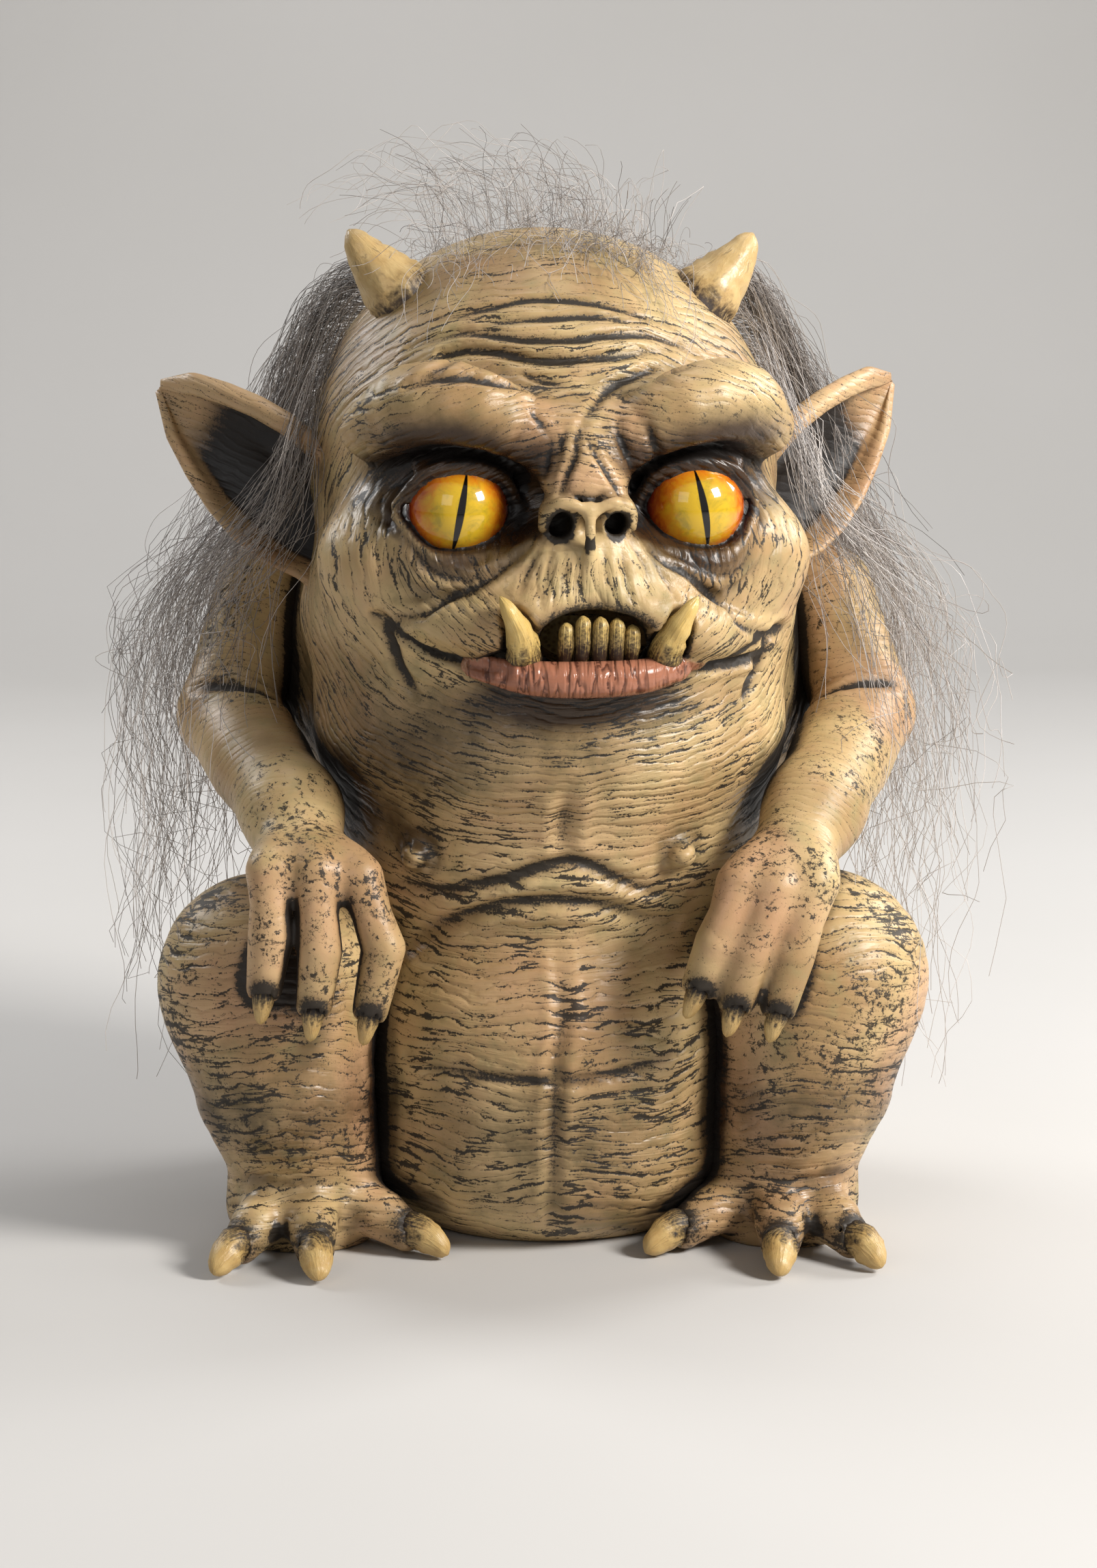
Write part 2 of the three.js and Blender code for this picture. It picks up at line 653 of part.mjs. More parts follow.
function earForm(side, grow) {
  const { along, upright, back, at } = earFrame(side);
  const turns = [-90, -45, 0, 45, 90].map(radians);
  const rings = EAR_WIDTH_SHARES.map((share, i) => {
    const reach = -0.16 + (1.16 * i) / (EAR_WIDTH_SHARES.length - 1);
    const centre = at(reach, -0.16 * (1 - reach) + 0.05);
    const arc = (turn, offset) => {
      const half = 0.5 * share * EAR_WIDTH + grow;
      const point = centre.clone().addScaledVector(upright, half * Math.sin(turn));
      return point.addScaledVector(back, share * EAR_CUP * (Math.cos(turn) - 0.5) + offset);
    };
    const rear = turns.map((turn) => arc(turn, EAR_THICK / 2 + EAR_WALL_SLANT * grow));
    const front = turns.map((turn) => arc(turn, -EAR_THICK / 2 - EAR_WALL_SLANT * grow));
    const ring = [...rear, ...front.reverse()];
    return side > 0 ? ring : ring.reverse();
  });
  const middle = (ring) => ring.reduce((sum, p) => sum.add(p), v(0, 0, 0)).divideScalar(ring.length);
  const tip = middle(rings[rings.length - 1]).addScaledVector(along, EAR_THICK / 4 + grow);
  return closedLoft(rings, middle(rings[0]), tip);
}

function earPeg(side, grow) {
  const { seat } = earFrame(side);
  const inward = headDirection(-side, 0, 0);
  const at = (reach) => seat.clone().addScaledVector(inward, reach).add(v(0, 0, -0.12 * EAR_WIDTH));
  return peg(at(-0.5 * PEG_DEPTH), at(PEG_DEPTH), EAR_PEG_RADIUS, grow);
}

// Legs: squatting, knees raised and feet flat, with three toes each.
function legJoints(side) {
  const at = (spacing, y, z) => v(LEG_SHIFT + (side * spacing) / 2, y, z);
  return {
    hip: at(HIP_SPACING, HIP_Y, HIP_HEIGHT),
    knee: at(KNEE_SPACING, KNEE_Y, KNEE_HEIGHT),
    ankle: at(ANKLE_SPACING, ANKLE_Y, ANKLE_HEIGHT),
  };
}

const TOE_TURNS_DEG = { outer: 30, middle: -6, inner: -58 };

function toeLine(side, turnDeg) {
  const { ankle } = legJoints(side);
  const turn = radians(turnDeg);
  const heading = v(side * Math.sin(turn), -Math.cos(turn), 0);
  return (reach, z) => v(ankle.x, ankle.y, z).addScaledVector(heading, reach);
}

function toeForm(side, turnDeg, grow) {
  const at = toeLine(side, turnDeg);
  const stations = [
    station(at(0.3 * TOE_REACH, 0.85 * TOE_WIDTH), 1.2 * TOE_WIDTH, 1.5 * TOE_WIDTH),
    station(at(0.72 * TOE_REACH, 0.8 * TOE_WIDTH), TOE_WIDTH, 1.1 * TOE_WIDTH),
    station(at(TOE_REACH, 0.5 * TOE_WIDTH), 0.8 * TOE_WIDTH, 0.74 * TOE_WIDTH),
  ];
  return ovalLoft(stations, { sides: 6, steps: 3, grow });
}

function legForm(side, grow) {
  const { hip, knee, ankle } = legJoints(side);
  const calf = knee.clone().lerp(ankle, 0.55).add(v(side, -5, 0));
  const thigh = [
    station(hip, 0.9 * THIGH_WIDTH),
    station(hip.clone().lerp(knee, 0.5).add(v(side * 4, 0, 4)), THIGH_WIDTH),
    station(knee, KNEE_WIDTH, 0.94 * KNEE_WIDTH),
  ];
  const shin = [
    station(knee, KNEE_WIDTH, 0.94 * KNEE_WIDTH),
    station(calf, 0.5 * (KNEE_WIDTH + ANKLE_WIDTH), 0.95 * ANKLE_WIDTH),
    station(ankle, ANKLE_WIDTH),
    station(v(ankle.x, ankle.y + 2, 0.1 * ankle.z), 1.02 * ANKLE_WIDTH, 1.05 * ANKLE_WIDTH),
  ];
  return joinAll([
    ovalLoft(thigh, { sides: 9, steps: 2, grow }),
    ovalLoft(shin, { sides: 10, steps: 5, grow }),
    ...Object.values(TOE_TURNS_DEG).map((turnDeg) => toeForm(side, turnDeg, grow)),
  ]);
}

function toeClawForm(side, turnDeg, grow) {
  const at = toeLine(side, turnDeg);
  const start = TOE_REACH + 0.2 * TOE_WIDTH;
  const stations = [
    station(at(start - CLAW_ROOT, 0.52 * TOE_WIDTH), 0.8 * TOE_CLAW_WIDTH),
    station(at(start + 0.25 * TOE_CLAW_LENGTH, 0.5 * TOE_WIDTH), TOE_CLAW_WIDTH, 0.8 * TOE_CLAW_WIDTH),
    station(at(start + 0.9 * TOE_CLAW_LENGTH, 0.24 * TOE_WIDTH), 0.26 * TOE_CLAW_WIDTH),
  ];
  return ovalLoft(stations, { across: UP, sides: 6, steps: 2, grow });
}

// A peg on the line from a joint outside the skin to one inside it, half in and half out.
function limbPeg(outside, inside, radius, grow) {
  const heading = outside.clone().sub(inside).normalize();
  const seat = skinAlong(inside, heading);
  const at = (reach) => seat.clone().addScaledVector(heading, reach);
  return peg(at(PEG_DEPTH), at(-PEG_DEPTH), radius, grow);
}

function legPeg(side, grow) {
  const { hip, knee } = legJoints(side);
  return limbPeg(knee, hip, LEG_PEG_RADIUS, grow);
}

// Arms: from the hunched shoulder down to the elbow, then forward to a hand laid on the knee.
function armJoints(side) {
  const { knee } = legJoints(side);
  const at = (spacing, y, z) => v((side * spacing) / 2, y, z);
  return {
    shoulder: at(SHOULDER_SPACING, SHOULDER_Y, SHOULDER_HEIGHT),
    elbow: at(ELBOW_SPACING, ELBOW_Y, ELBOW_HEIGHT),
    wrist: at(WRIST_SPACING, WRIST_Y, WRIST_HEIGHT),
    palm: knee.clone().add(v(side * -13, -26, KNEE_WIDTH / 2 + 10)),
  };
}

// Each finger bends over the front of the knee. Its points are across the knee, out of it and up
// from its centre.
const FINGERS = {
  left: {
    inner: { knuckle: [-29, -40, 38], middle: [-36, -44, 21], tip: [-41, -43, 8] },
    middle: { knuckle: [-18, -42, 37], middle: [-26, -46, 18], tip: [-30, -45, 3] },
    outer: { knuckle: [-6, -40, 38], middle: [-13, -45, 17], tip: [-17, -44, 1] },
  },
  right: {
    inner: { knuckle: [-30, -40, 41], middle: [-37, -44, 20], tip: [-33, -43, 1] },
    middle: { knuckle: [-17, -42, 43], middle: [-18, -46, 20], tip: [-16, -45, 3] },
    outer: { knuckle: [-3, -40, 43], middle: [-3, -44, 24], tip: [-1, -43, 8] },
  },
};

const fromKnee = (side, [across, out, up]) => legJoints(side).knee.add(v(side * across, out, up));

function fingerForm(side, finger, grow) {
  const knuckle = fromKnee(side, finger.knuckle);
  const stations = [
    station(armJoints(side).palm.lerp(knuckle, 0.55), FINGER_WIDTH),
    station(knuckle, 1.05 * FINGER_WIDTH),
    station(fromKnee(side, finger.middle), 0.95 * FINGER_WIDTH),
    station(fromKnee(side, finger.tip), 0.8 * FINGER_WIDTH),
  ];
  return ovalLoft(stations, { sides: 6, steps: 4, grow });
}

function armForm(sideName, grow) {
  const side = SIDES[sideName];
  const { shoulder, elbow, wrist, palm } = armJoints(side);
  const upperArm = [
    station(shoulder, 1.15 * UPPER_ARM_WIDTH),
    station(shoulder.clone().lerp(elbow, 0.5).add(v(side * 3, 2, 1)), UPPER_ARM_WIDTH),
    station(elbow, FOREARM_WIDTH),
  ];
  const forearm = [
    station(elbow, FOREARM_WIDTH),
    station(elbow.clone().lerp(wrist, 0.5), 1.05 * FOREARM_WIDTH, FOREARM_WIDTH),
    station(wrist, FOREARM_WIDTH, 0.85 * FOREARM_WIDTH),
    station(palm, HAND_WIDTH, HAND_THICK),
  ];
  return joinAll([
    ovalLoft(upperArm, { sides: 8, steps: 2, grow }),
    ovalLoft(forearm, { sides: 8, steps: 5, grow }),
    ...Object.values(FINGERS[sideName]).map((finger) => fingerForm(side, finger, grow)),
  ]);
}

function fingerClawForm(side, finger, grow) {
  const tip = fromKnee(side, finger.tip);
  const heading = tip.clone().sub(fromKnee(side, finger.middle)).normalize();
  const start = 0.3 * FINGER_WIDTH;
  const at = (reach) => tip.clone().addScaledVector(heading, start + reach);
  const stations = [
    station(at(-CLAW_ROOT), 0.8 * FINGER_CLAW_WIDTH),
    station(at(0.2 * FINGER_CLAW_LENGTH), FINGER_CLAW_WIDTH, 0.85 * FINGER_CLAW_WIDTH),
    station(at(0.9 * FINGER_CLAW_LENGTH), 0.3 * FINGER_CLAW_WIDTH),
  ];
  return ovalLoft(stations, { sides: 6, steps: 2, grow });
}

function armPeg(side, grow) {
  const { shoulder } = armJoints(side);
  return limbPeg(shoulder, v(0, SHOULDER_Y, SHOULDER_HEIGHT - 14), ARM_PEG_RADIUS, grow);
}

// Hair: the outer form of each glued hank, as tapering locks that join where they are glued.

function crownHairForm(grow) {
  const cap = ovalLoft(
    [
      station(v(0, 58, HEAD_TOP - 18), 0.7 * CROWN_WIDTH, 26),
      station(v(0, 30, HEAD_TOP - 6), CROWN_WIDTH, 30),
      station(v(-2, -4, HEAD_TOP - 6), CROWN_WIDTH, 30),
      station(v(-4, -26, HEAD_TOP - 12), 0.6 * CROWN_WIDTH, 18),
    ],
    { sides: 9, steps: 4, grow },
  );
  const tufts = Array.from({ length: TUFT_COUNT }, (unused, i) => {
    const fan = (2 * i) / (TUFT_COUNT - 1) - 1;
    const sway = i % 2 === 0 ? 1 : -1;
    const x = 0.36 * CROWN_WIDTH * fan;
    const stations = [
      station(v(x, 22 + 8 * sway, HEAD_TOP - 4), 1.5 * TUFT_WIDTH),
      station(v(1.25 * x - 3, 4 + 8 * sway, HEAD_TOP + 0.62 * CROWN_RISE), TUFT_WIDTH),
      station(v(1.6 * x - 6, -14 + 10 * sway, HEAD_TOP + CROWN_RISE - 8 * fan * fan), 0.3 * TUFT_WIDTH),
    ];
    return ovalLoft(stations, { sides: 5, steps: 3, grow });
  });
  return joinAll([cap, ...tufts]);
}

// How far out each side lock swings, how far back it hangs and how much of the full length it has.
const SIDE_LOCKS = [
  { out: 1, y: 26, share: 0.74 },
  { out: 0.96, y: 40, share: 1 },
  { out: 0.9, y: 54, share: 0.86 },
];

function sideHairForm(side, grow) {
  const top = HEAD_TOP - 18;
  const reach = (side * (SIDE_HAIR_SPREAD - SIDE_LOCK_WIDTH)) / 2;
  const root = v(side * 0.34 * SKULL_WIDTH, SKULL_Y + 0.6 * SIDE_LOCK_WIDTH, top);
  const locks = SIDE_LOCKS.map(({ out, y, share }, i) => {
    const end = top - share * SIDE_HAIR_LENGTH;
    const fan = i * 0.3 * SIDE_LOCK_WIDTH;
    const shoulder = v(side * (0.47 * SKULL_WIDTH), SKULL_Y + 0.17 * SKULL_DEPTH + fan, top - 14 - fan);
    const stations = [
      station(root.clone().add(v(0, fan, 0)), 1.1 * SIDE_LOCK_WIDTH),
      station(shoulder, 1.2 * SIDE_LOCK_WIDTH),
      station(v(0.76 * reach, y + 0.9 * SIDE_LOCK_WIDTH, EAR_HEIGHT + 4), 1.1 * SIDE_LOCK_WIDTH),
      station(v(0.96 * out * reach, y + 2, SHOULDER_HEIGHT - 8), SIDE_LOCK_WIDTH),
      station(v(out * reach, y - 6, 0.5 * (SHOULDER_HEIGHT - 8 + end)), 0.9 * SIDE_LOCK_WIDTH),
      station(v(out * reach, y - 12, end), 0.2 * SIDE_LOCK_WIDTH),
    ];
    return ovalLoft(stations, { sides: 5, steps: 5, grow });
  });
  const temple = [
    station(root, TEMPLE_LOCK_WIDTH),
    station(v(side * 0.46 * SKULL_WIDTH, TEMPLE_LOCK_Y + 10, EAR_HEIGHT + 36), 1.1 * TEMPLE_LOCK_WIDTH),
    station(v(0.76 * reach, TEMPLE_LOCK_Y - 4, EAR_HEIGHT + 2), TEMPLE_LOCK_WIDTH),
    station(v(0.94 * reach, TEMPLE_LOCK_Y, SHOULDER_HEIGHT), TEMPLE_LOCK_WIDTH),
    station(v(reach, TEMPLE_LOCK_Y - 24, ELBOW_HEIGHT - 8), 0.9 * TEMPLE_LOCK_WIDTH),
    station(v(reach, TEMPLE_LOCK_Y - 42, KNEE_HEIGHT + 26), 0.2 * TEMPLE_LOCK_WIDTH),
  ];
  return joinAll([...locks, ovalLoft(temple, { sides: 5, steps: 4, grow })]);
}

function backHairForm(grow) {
  const rear = BACK_Y + BACK_DEPTH / 2 + 0.3 * BACK_LOCK_THICK;
  const pitch = BACK_HAIR_WIDTH / BACK_LOCK_COUNT;
  const locks = Array.from({ length: BACK_LOCK_COUNT }, (unused, i) => {
    const x = (i - (BACK_LOCK_COUNT - 1) / 2) * pitch;
    const end = BACK_HAIR_END + (i % 2 === 0 ? 0 : 18);
    const stations = [
      station(v(0.75 * x, 66, HEAD_TOP - 26), 1.3 * pitch, BACK_LOCK_THICK),
      station(v(x, 88, HEAD_TOP - 66), 1.3 * pitch, BACK_LOCK_THICK),
      station(v(x, rear, BACK_HEIGHT + 20), 1.25 * pitch, BACK_LOCK_THICK),
      station(v(x, rear, 0.5 * (BACK_HEIGHT + end)), pitch, 0.8 * BACK_LOCK_THICK),
      station(v(0.95 * x, rear - 6, end), 0.25 * pitch, 0.25 * BACK_LOCK_THICK),
    ];
    return ovalLoft(stations, { sides: 5, steps: 4, grow });
  });
  return joinAll(locks);
}

// Finishes
const finish = (color, roughness) => new THREE.MeshStandardMaterial({ color, roughness, metalness: 0 });
const FINISH = {
  latex: () => finish(0x9a7444, 0.45),
  foam: () => finish(0xd8c48c, 0.95),
  plug: () => finish(0x2a2622, 0.8),
  ivory: () => finish(0xd9c08a, 0.35),
  eye: () => finish(0xe0a818, 0.1),
  hair: () => finish(0x8d8780, 0.6),
};

// Assembly: every set-in piece cuts its own socket, a glue gap larger than itself.
const figure = new THREE.Group();
const floor = belowFloor();
let skin = skinForm(0);

function place(name, manifold, material) {
  const mesh = new THREE.Mesh(geometryOf(manifold), material());
  mesh.name = name;
  figure.add(mesh);
}

function letIntoSkin(name, form, material) {
  skin = skin.subtract(form(GLUE_GAP));
  place(name, form(0), material);
}

function standOnSkin(name, form, pegForm, material) {
  skin = skin.subtract(pegForm(GLUE_GAP));
  place(name, form.subtract(grownSkin).add(pegForm(0)), material);
}

function placeLeg(name, side) {
  skin = skin.subtract(legPeg(side, GLUE_GAP));
  let leg = legForm(side, 0).subtract(grownSkin).add(legPeg(side, 0)).subtract(floor);
  for (const [toe, turnDeg] of Object.entries(TOE_TURNS_DEG)) {
    leg = leg.subtract(toeClawForm(side, turnDeg, GLUE_GAP));
    place(`${name}_${toe}_toe_claw`, toeClawForm(side, turnDeg, 0).subtract(floor), FINISH.ivory);
  }
  place(`${name}_leg`, leg, FINISH.latex);
}

function placeArm(name, side) {
  skin = skin.subtract(armPeg(side, GLUE_GAP));
  const legRoom = legForm(side, GLUE_GAP);
  let arm = armForm(name, 0).subtract(grownSkin).subtract(legRoom).add(armPeg(side, 0));
  for (const [fingerName, finger] of Object.entries(FINGERS[name])) {
    arm = arm.subtract(fingerClawForm(side, finger, GLUE_GAP));
    const claw = fingerClawForm(side, finger, 0).subtract(legRoom);
    place(`${name}_${fingerName}_finger_claw`, claw, FINISH.ivory);
  }
  place(`${name}_arm`, arm, FINISH.latex);
}

// Each hank is cut clear of the skin, the ears, the limbs and the hank that is glued on before it.
let hairRoom = grownSkin;

function placeHair(name, form) {
  place(name, form(0).subtract(hairRoom), FINISH.hair);
  hairRoom = hairRoom.add(form(GLUE_GAP));
}

letIntoSkin("base_plug", plugForm, FINISH.plug);
letIntoSkin("foam_core", coreForm, FINISH.foam);
for (let index = 0; index < TOOTH_COUNT; index += 1) {
  letIntoSkin(`tooth_${index + 1}`, (grow) => toothForm(index, grow), FINISH.ivory);
}
for (const [name, side] of Object.entries(SIDES)) {
  skin = skin.subtract(nostrilForm(side)).subtract(mouthCorner(side)).subtract(cheekFold(side));
  letIntoSkin(`${name}_eye`, (grow) => eyeForm(side, grow), FINISH.eye);
  letIntoSkin(`${name}_tusk`, (grow) => tuskForm(side, grow), FINISH.ivory);
  standOnSkin(`${name}_horn`, hornForm(side), (grow) => hornPeg(side, grow), FINISH.ivory);
  standOnSkin(`${name}_ear`, earForm(side, 0), (grow) => earPeg(side, grow), FINISH.latex);
  placeLeg(name, side);
  placeArm(name, side);
  hairRoom = hairRoom.add(earForm(side, GLUE_GAP)).add(armForm(name, GLUE_GAP)).add(legForm(side, GLUE_GAP));
}
place("body_skin", skin, FINISH.latex);
placeHair("crown_hair", crownHairForm);
placeHair("left_hair", (grow) => sideHairForm(SIDES.left, grow));
placeHair("right_hair", (grow) => sideHairForm(SIDES.right, grow));
placeHair("back_hair", backHairForm);

export default figure;
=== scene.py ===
"""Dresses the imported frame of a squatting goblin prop: painted latex, glassy eyes and glued hair.

The skin is sculpted as clay: soft forms are pressed into a distance field in millimetres, the field
is turned into a mesh, and wrinkles are carved into it. The paint follows what the sculpting leaves:
every vertex carries how deep it lies, which way its wrinkles run and which tint it has.
"""

import logging
import math
from dataclasses import dataclass, field
from enum import Enum
from functools import cache
from itertools import pairwise, product
from typing import Protocol

import bpy
import numpy as np
from bpy.types import Material, Mesh, Node, NodeTree, Object
from bpy.types import NodeSocket as Socket
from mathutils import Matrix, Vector


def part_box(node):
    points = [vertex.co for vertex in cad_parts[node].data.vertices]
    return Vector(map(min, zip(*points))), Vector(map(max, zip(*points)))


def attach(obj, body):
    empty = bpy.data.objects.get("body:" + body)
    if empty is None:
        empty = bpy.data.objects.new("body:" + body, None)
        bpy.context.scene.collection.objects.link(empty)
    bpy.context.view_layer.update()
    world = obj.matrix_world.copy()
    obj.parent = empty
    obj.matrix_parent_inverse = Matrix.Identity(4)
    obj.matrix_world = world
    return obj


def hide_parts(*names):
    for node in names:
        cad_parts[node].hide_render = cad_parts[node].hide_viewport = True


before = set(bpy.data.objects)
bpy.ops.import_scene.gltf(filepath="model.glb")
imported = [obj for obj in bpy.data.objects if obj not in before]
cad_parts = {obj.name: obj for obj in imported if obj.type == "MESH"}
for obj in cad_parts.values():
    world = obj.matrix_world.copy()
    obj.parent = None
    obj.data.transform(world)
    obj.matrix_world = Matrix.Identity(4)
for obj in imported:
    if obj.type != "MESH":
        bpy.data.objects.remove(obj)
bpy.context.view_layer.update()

LOG = logging.getLogger("goblin")
MM = 0.001
# Millimetres: farther than any surface, and how far round its box a form is pressed into the clay
FAR = 1e3
REACH = 30.0
Array = np.ndarray
Point = tuple[float, float, float]
Knot = tuple[float, float, float, float]
Colour = tuple[float, float, float, float]
Value = Socket | float


class Side(Enum):
    """The figure's own left and right: its left is +X."""

    LEFT = 1
    RIGHT = -1

    @property
    def label(self) -> str:
        """The side's name as the frame's nodes spell it."""
        return self.name.lower()


# Clay: soft forms pressed into a distance field


class Press(Enum):
    """Whether a form swells out of the clay or hollows it."""

    SWELL = 1
    HOLLOW = -1


class Space(Enum):
    """The space that a form is measured in: the body's, or the turned head's."""

    BODY = "body"
    HEAD = "head"


@dataclass(frozen=True)
class HeadTurn:
    """The head's turn on the body, about an upright line."""

    degrees: float = 6.0
    about_y: float = -10.0

    def _turned(self, at: Array, degrees: float) -> Array:
        """Turns points about the upright line by an angle in degrees."""
        c, s = math.cos(math.radians(degrees)), math.sin(math.radians(degrees))
        x, y = at[:, 0], at[:, 1] - self.about_y
        return np.stack([c * x - s * y, s * x + c * y + self.about_y, at[:, 2]], 1).astype(np.float32)

    def onto_body(self, at: Array) -> Array:
        """Points of the head's space, in the body's."""
        return self._turned(at, self.degrees)

    def local(self, at: Array) -> Array:
        """Points of the body's space, in the head's."""
        return self._turned(at, -self.degrees)


HEAD = HeadTurn()
# The middle of the left eye, in the head's space: the right eye is its mirror image
EYE: Point = (36.0, -67.0, 235.0)


class Shape(Protocol):
    """Anything with a distance from its surface, negative inside."""

    def distance(self, at: Array) -> Array:
        """Distances of points from the surface, in millimetres."""

    def box(self) -> tuple[Array, Array]:
        """The low and high corners of a box that holds the surface."""


@dataclass(frozen=True)
class Ball:
    """An ellipsoid, by its middle and its full widths."""

    middle: Point
    size: Point

    def distance(self, at: Array) -> Array:
        """Distances of points from the surface, in millimetres."""
        radii = np.array(self.size, np.float32) / 2
        near = (at - np.array(self.middle, np.float32)) / radii
        length = np.sqrt((near * near).sum(1))
        near /= radii
        slope = np.sqrt((near * near).sum(1))
        return length * (length - 1) / np.maximum(slope, 1e-6)

    def box(self) -> tuple[Array, Array]:
        """The low and high corners of a box that holds the surface."""
        middle, half = np.array(self.middle), np.array(self.size) / 2
        return middle - half, middle + half


@dataclass(frozen=True)
class Rope:
    """A run of round sections: each knot is a point and the radius there."""

    knots: tuple[Knot, ...]

    def distance(self, at: Array) -> Array:
        """Distances of points from the surface, in millimetres."""
        nearest = np.full(len(at), FAR, np.float32)
        for first, last in pairwise(self.knots):
            a, b = np.array(first[:3], np.float32), np.array(last[:3], np.float32)
            along = b - a
            share = np.clip((at - a) @ along / (along @ along), 0, 1)
            gap = at - (a + share[:, None] * along)
            reach = np.sqrt((gap * gap).sum(1)) - (first[3] + share * (last[3] - first[3]))
            nearest = np.minimum(nearest, reach)
        return nearest

    def box(self) -> tuple[Array, Array]:
        """The low and high corners of a box that holds the surface."""
        at, radius = np.array(self.knots)[:, :3], np.array(self.knots)[:, 3:]
        return (at - radius).min(0), (at + radius).max(0)

    @classmethod
    def bent(cls, knots: tuple[Knot, ...], pitch: float = 2.5) -> "Rope":
        """A rope that curves smoothly through its knots."""
        return cls(tuple(map(tuple, through(np.array(knots, float), pitch))))


@dataclass(frozen=True)
class Disc:
    """Everything under a level, within a radius of the upright line through the origin."""

    radius: float = math.inf
    top: float = 0.0

    def distance(self, at: Array) -> Array:
        """Distances of points from the surface, in millimetres."""
        return np.maximum(np.hypot(at[:, 0], at[:, 1]) - self.radius, at[:, 2] - self.top)

    def box(self) -> tuple[Array, Array]:
        """The low and high corners of a box that holds the surface."""
        return np.array([-self.radius, -self.radius, -np.inf]), np.array([self.radius, self.radius, self.top])


@dataclass(frozen=True)
class Layer:
    """A shape pressed into the clay with a softness of blend."""

    shape: Shape
    soft: float
    press: Press = Press.SWELL
    space: Space = Space.BODY

    def onto(self, clay: Array, at: Array) -> Array:
        """The clay's distances after this layer.

        Args:
            clay: Distances before it.
            at: The points, in this layer's space.

        Returns:
            The new distances.
        """
        sign = self.press.value
        low, high = self.shape.box()
        near = ((at > low - REACH) & (at < high + REACH)).all(1)
        a, b = sign * clay[near], self.shape.distance(at[near])
        mix = np.maximum(self.soft - np.abs(a - b), 0) / self.soft
        pressed = clay.copy()
        pressed[near] = sign * (np.minimum(a, b) - mix * mix * self.soft / 4)
        return pressed


def swell(shape: Shape, soft: float, space: Space = Space.BODY) -> Layer:
    """A form that swells out of the clay."""
    return Layer(shape, soft, Press.SWELL, space)


def hollow(shape: Shape, soft: float, space: Space = Space.BODY) -> Layer:
    """A form that hollows the clay."""
    return Layer(shape, soft, Press.HOLLOW, space)


@dataclass
class Clay:
    """Layers pressed on in order."""

    layers: list[Layer]

    def distance(self, at: Array) -> Array:
        """Distances of points from the clay's surface, in millimetres."""
        spaces = {Space.BODY: at, Space.HEAD: HEAD.local(at)}
        total = np.full(len(at), FAR, np.float32)
        for layer in self.layers:
            total = layer.onto(total, spaces[layer.space])
        return total

    def normals(self, at: Array) -> Array:
        """Unit normals of the field at points."""
        slopes = []
        for axis in np.eye(3, dtype=np.float32) * 0.4:
            slopes.append(self.distance(at + axis) - self.distance(at - axis))
        normal = np.stack(slopes, 1)
        return normal / np.maximum(np.linalg.norm(normal, axis=1, keepdims=True), 1e-6)

    def front(self, across: Array, up: Array, space: Space) -> Array:
        """Where rays from the front meet the clay.

        Args:
            across: The rays' places across the figure.
            up: Their heights.
            space: The space that both are measured in.

        Returns:
            Points on the surface, in the body's space.
        """
        at = np.stack([across, np.full(len(across), -140.0), up], 1).astype(np.float32)
        for _ in range(60):
            seen = HEAD.onto_body(at) if space is Space.HEAD else at
            at[:, 1] += np.clip(0.7 * self.distance(seen), -4, 12)
        return HEAD.onto_body(at) if space is Space.HEAD else at


def graded(*spans: tuple[float, float, float]) -> Array:
    """Grid lines along one axis, from spans of a start, an end and a pitch."""
    lines = [np.linspace(a, b, max(round((b - a) / pitch), 1), endpoint=False) for a, b, pitch in spans]
    return np.concatenate([*lines, [spans[-1][1]]]).astype(np.float32)


def on_grid(clay: Clay, axes: list[Array], band: float = 14.0, stride: int = 4) -> Array:
    """The clay's distances on a grid, worked out fully only near the surface.

    Args:
        clay: The clay.
        axes: The grid lines along X, Y and Z.
        band: How near the surface the full grid is worked out.
        stride: The step of the coarse grid that covers the rest.

    Returns:
        A block of distances.
    """
    shape = tuple(len(axis) for axis in axes)
    coarse_axes = [axis[::stride] for axis in axes]
    mesh = np.stack(np.meshgrid(*coarse_axes, indexing="ij"), -1).reshape(-1, 3)
    block = clay.distance(mesh).reshape([len(axis) for axis in coarse_axes])
    for way, length in enumerate(shape):
        block = np.repeat(block, stride, axis=way).take(range(length), axis=way)
    near = np.abs(block) < band
    cells = np.argwhere(near)
    at = np.stack([axes[k][cells[:, k]] for k in range(3)], 1)
    block[near] = clay.distance(at)
    return block


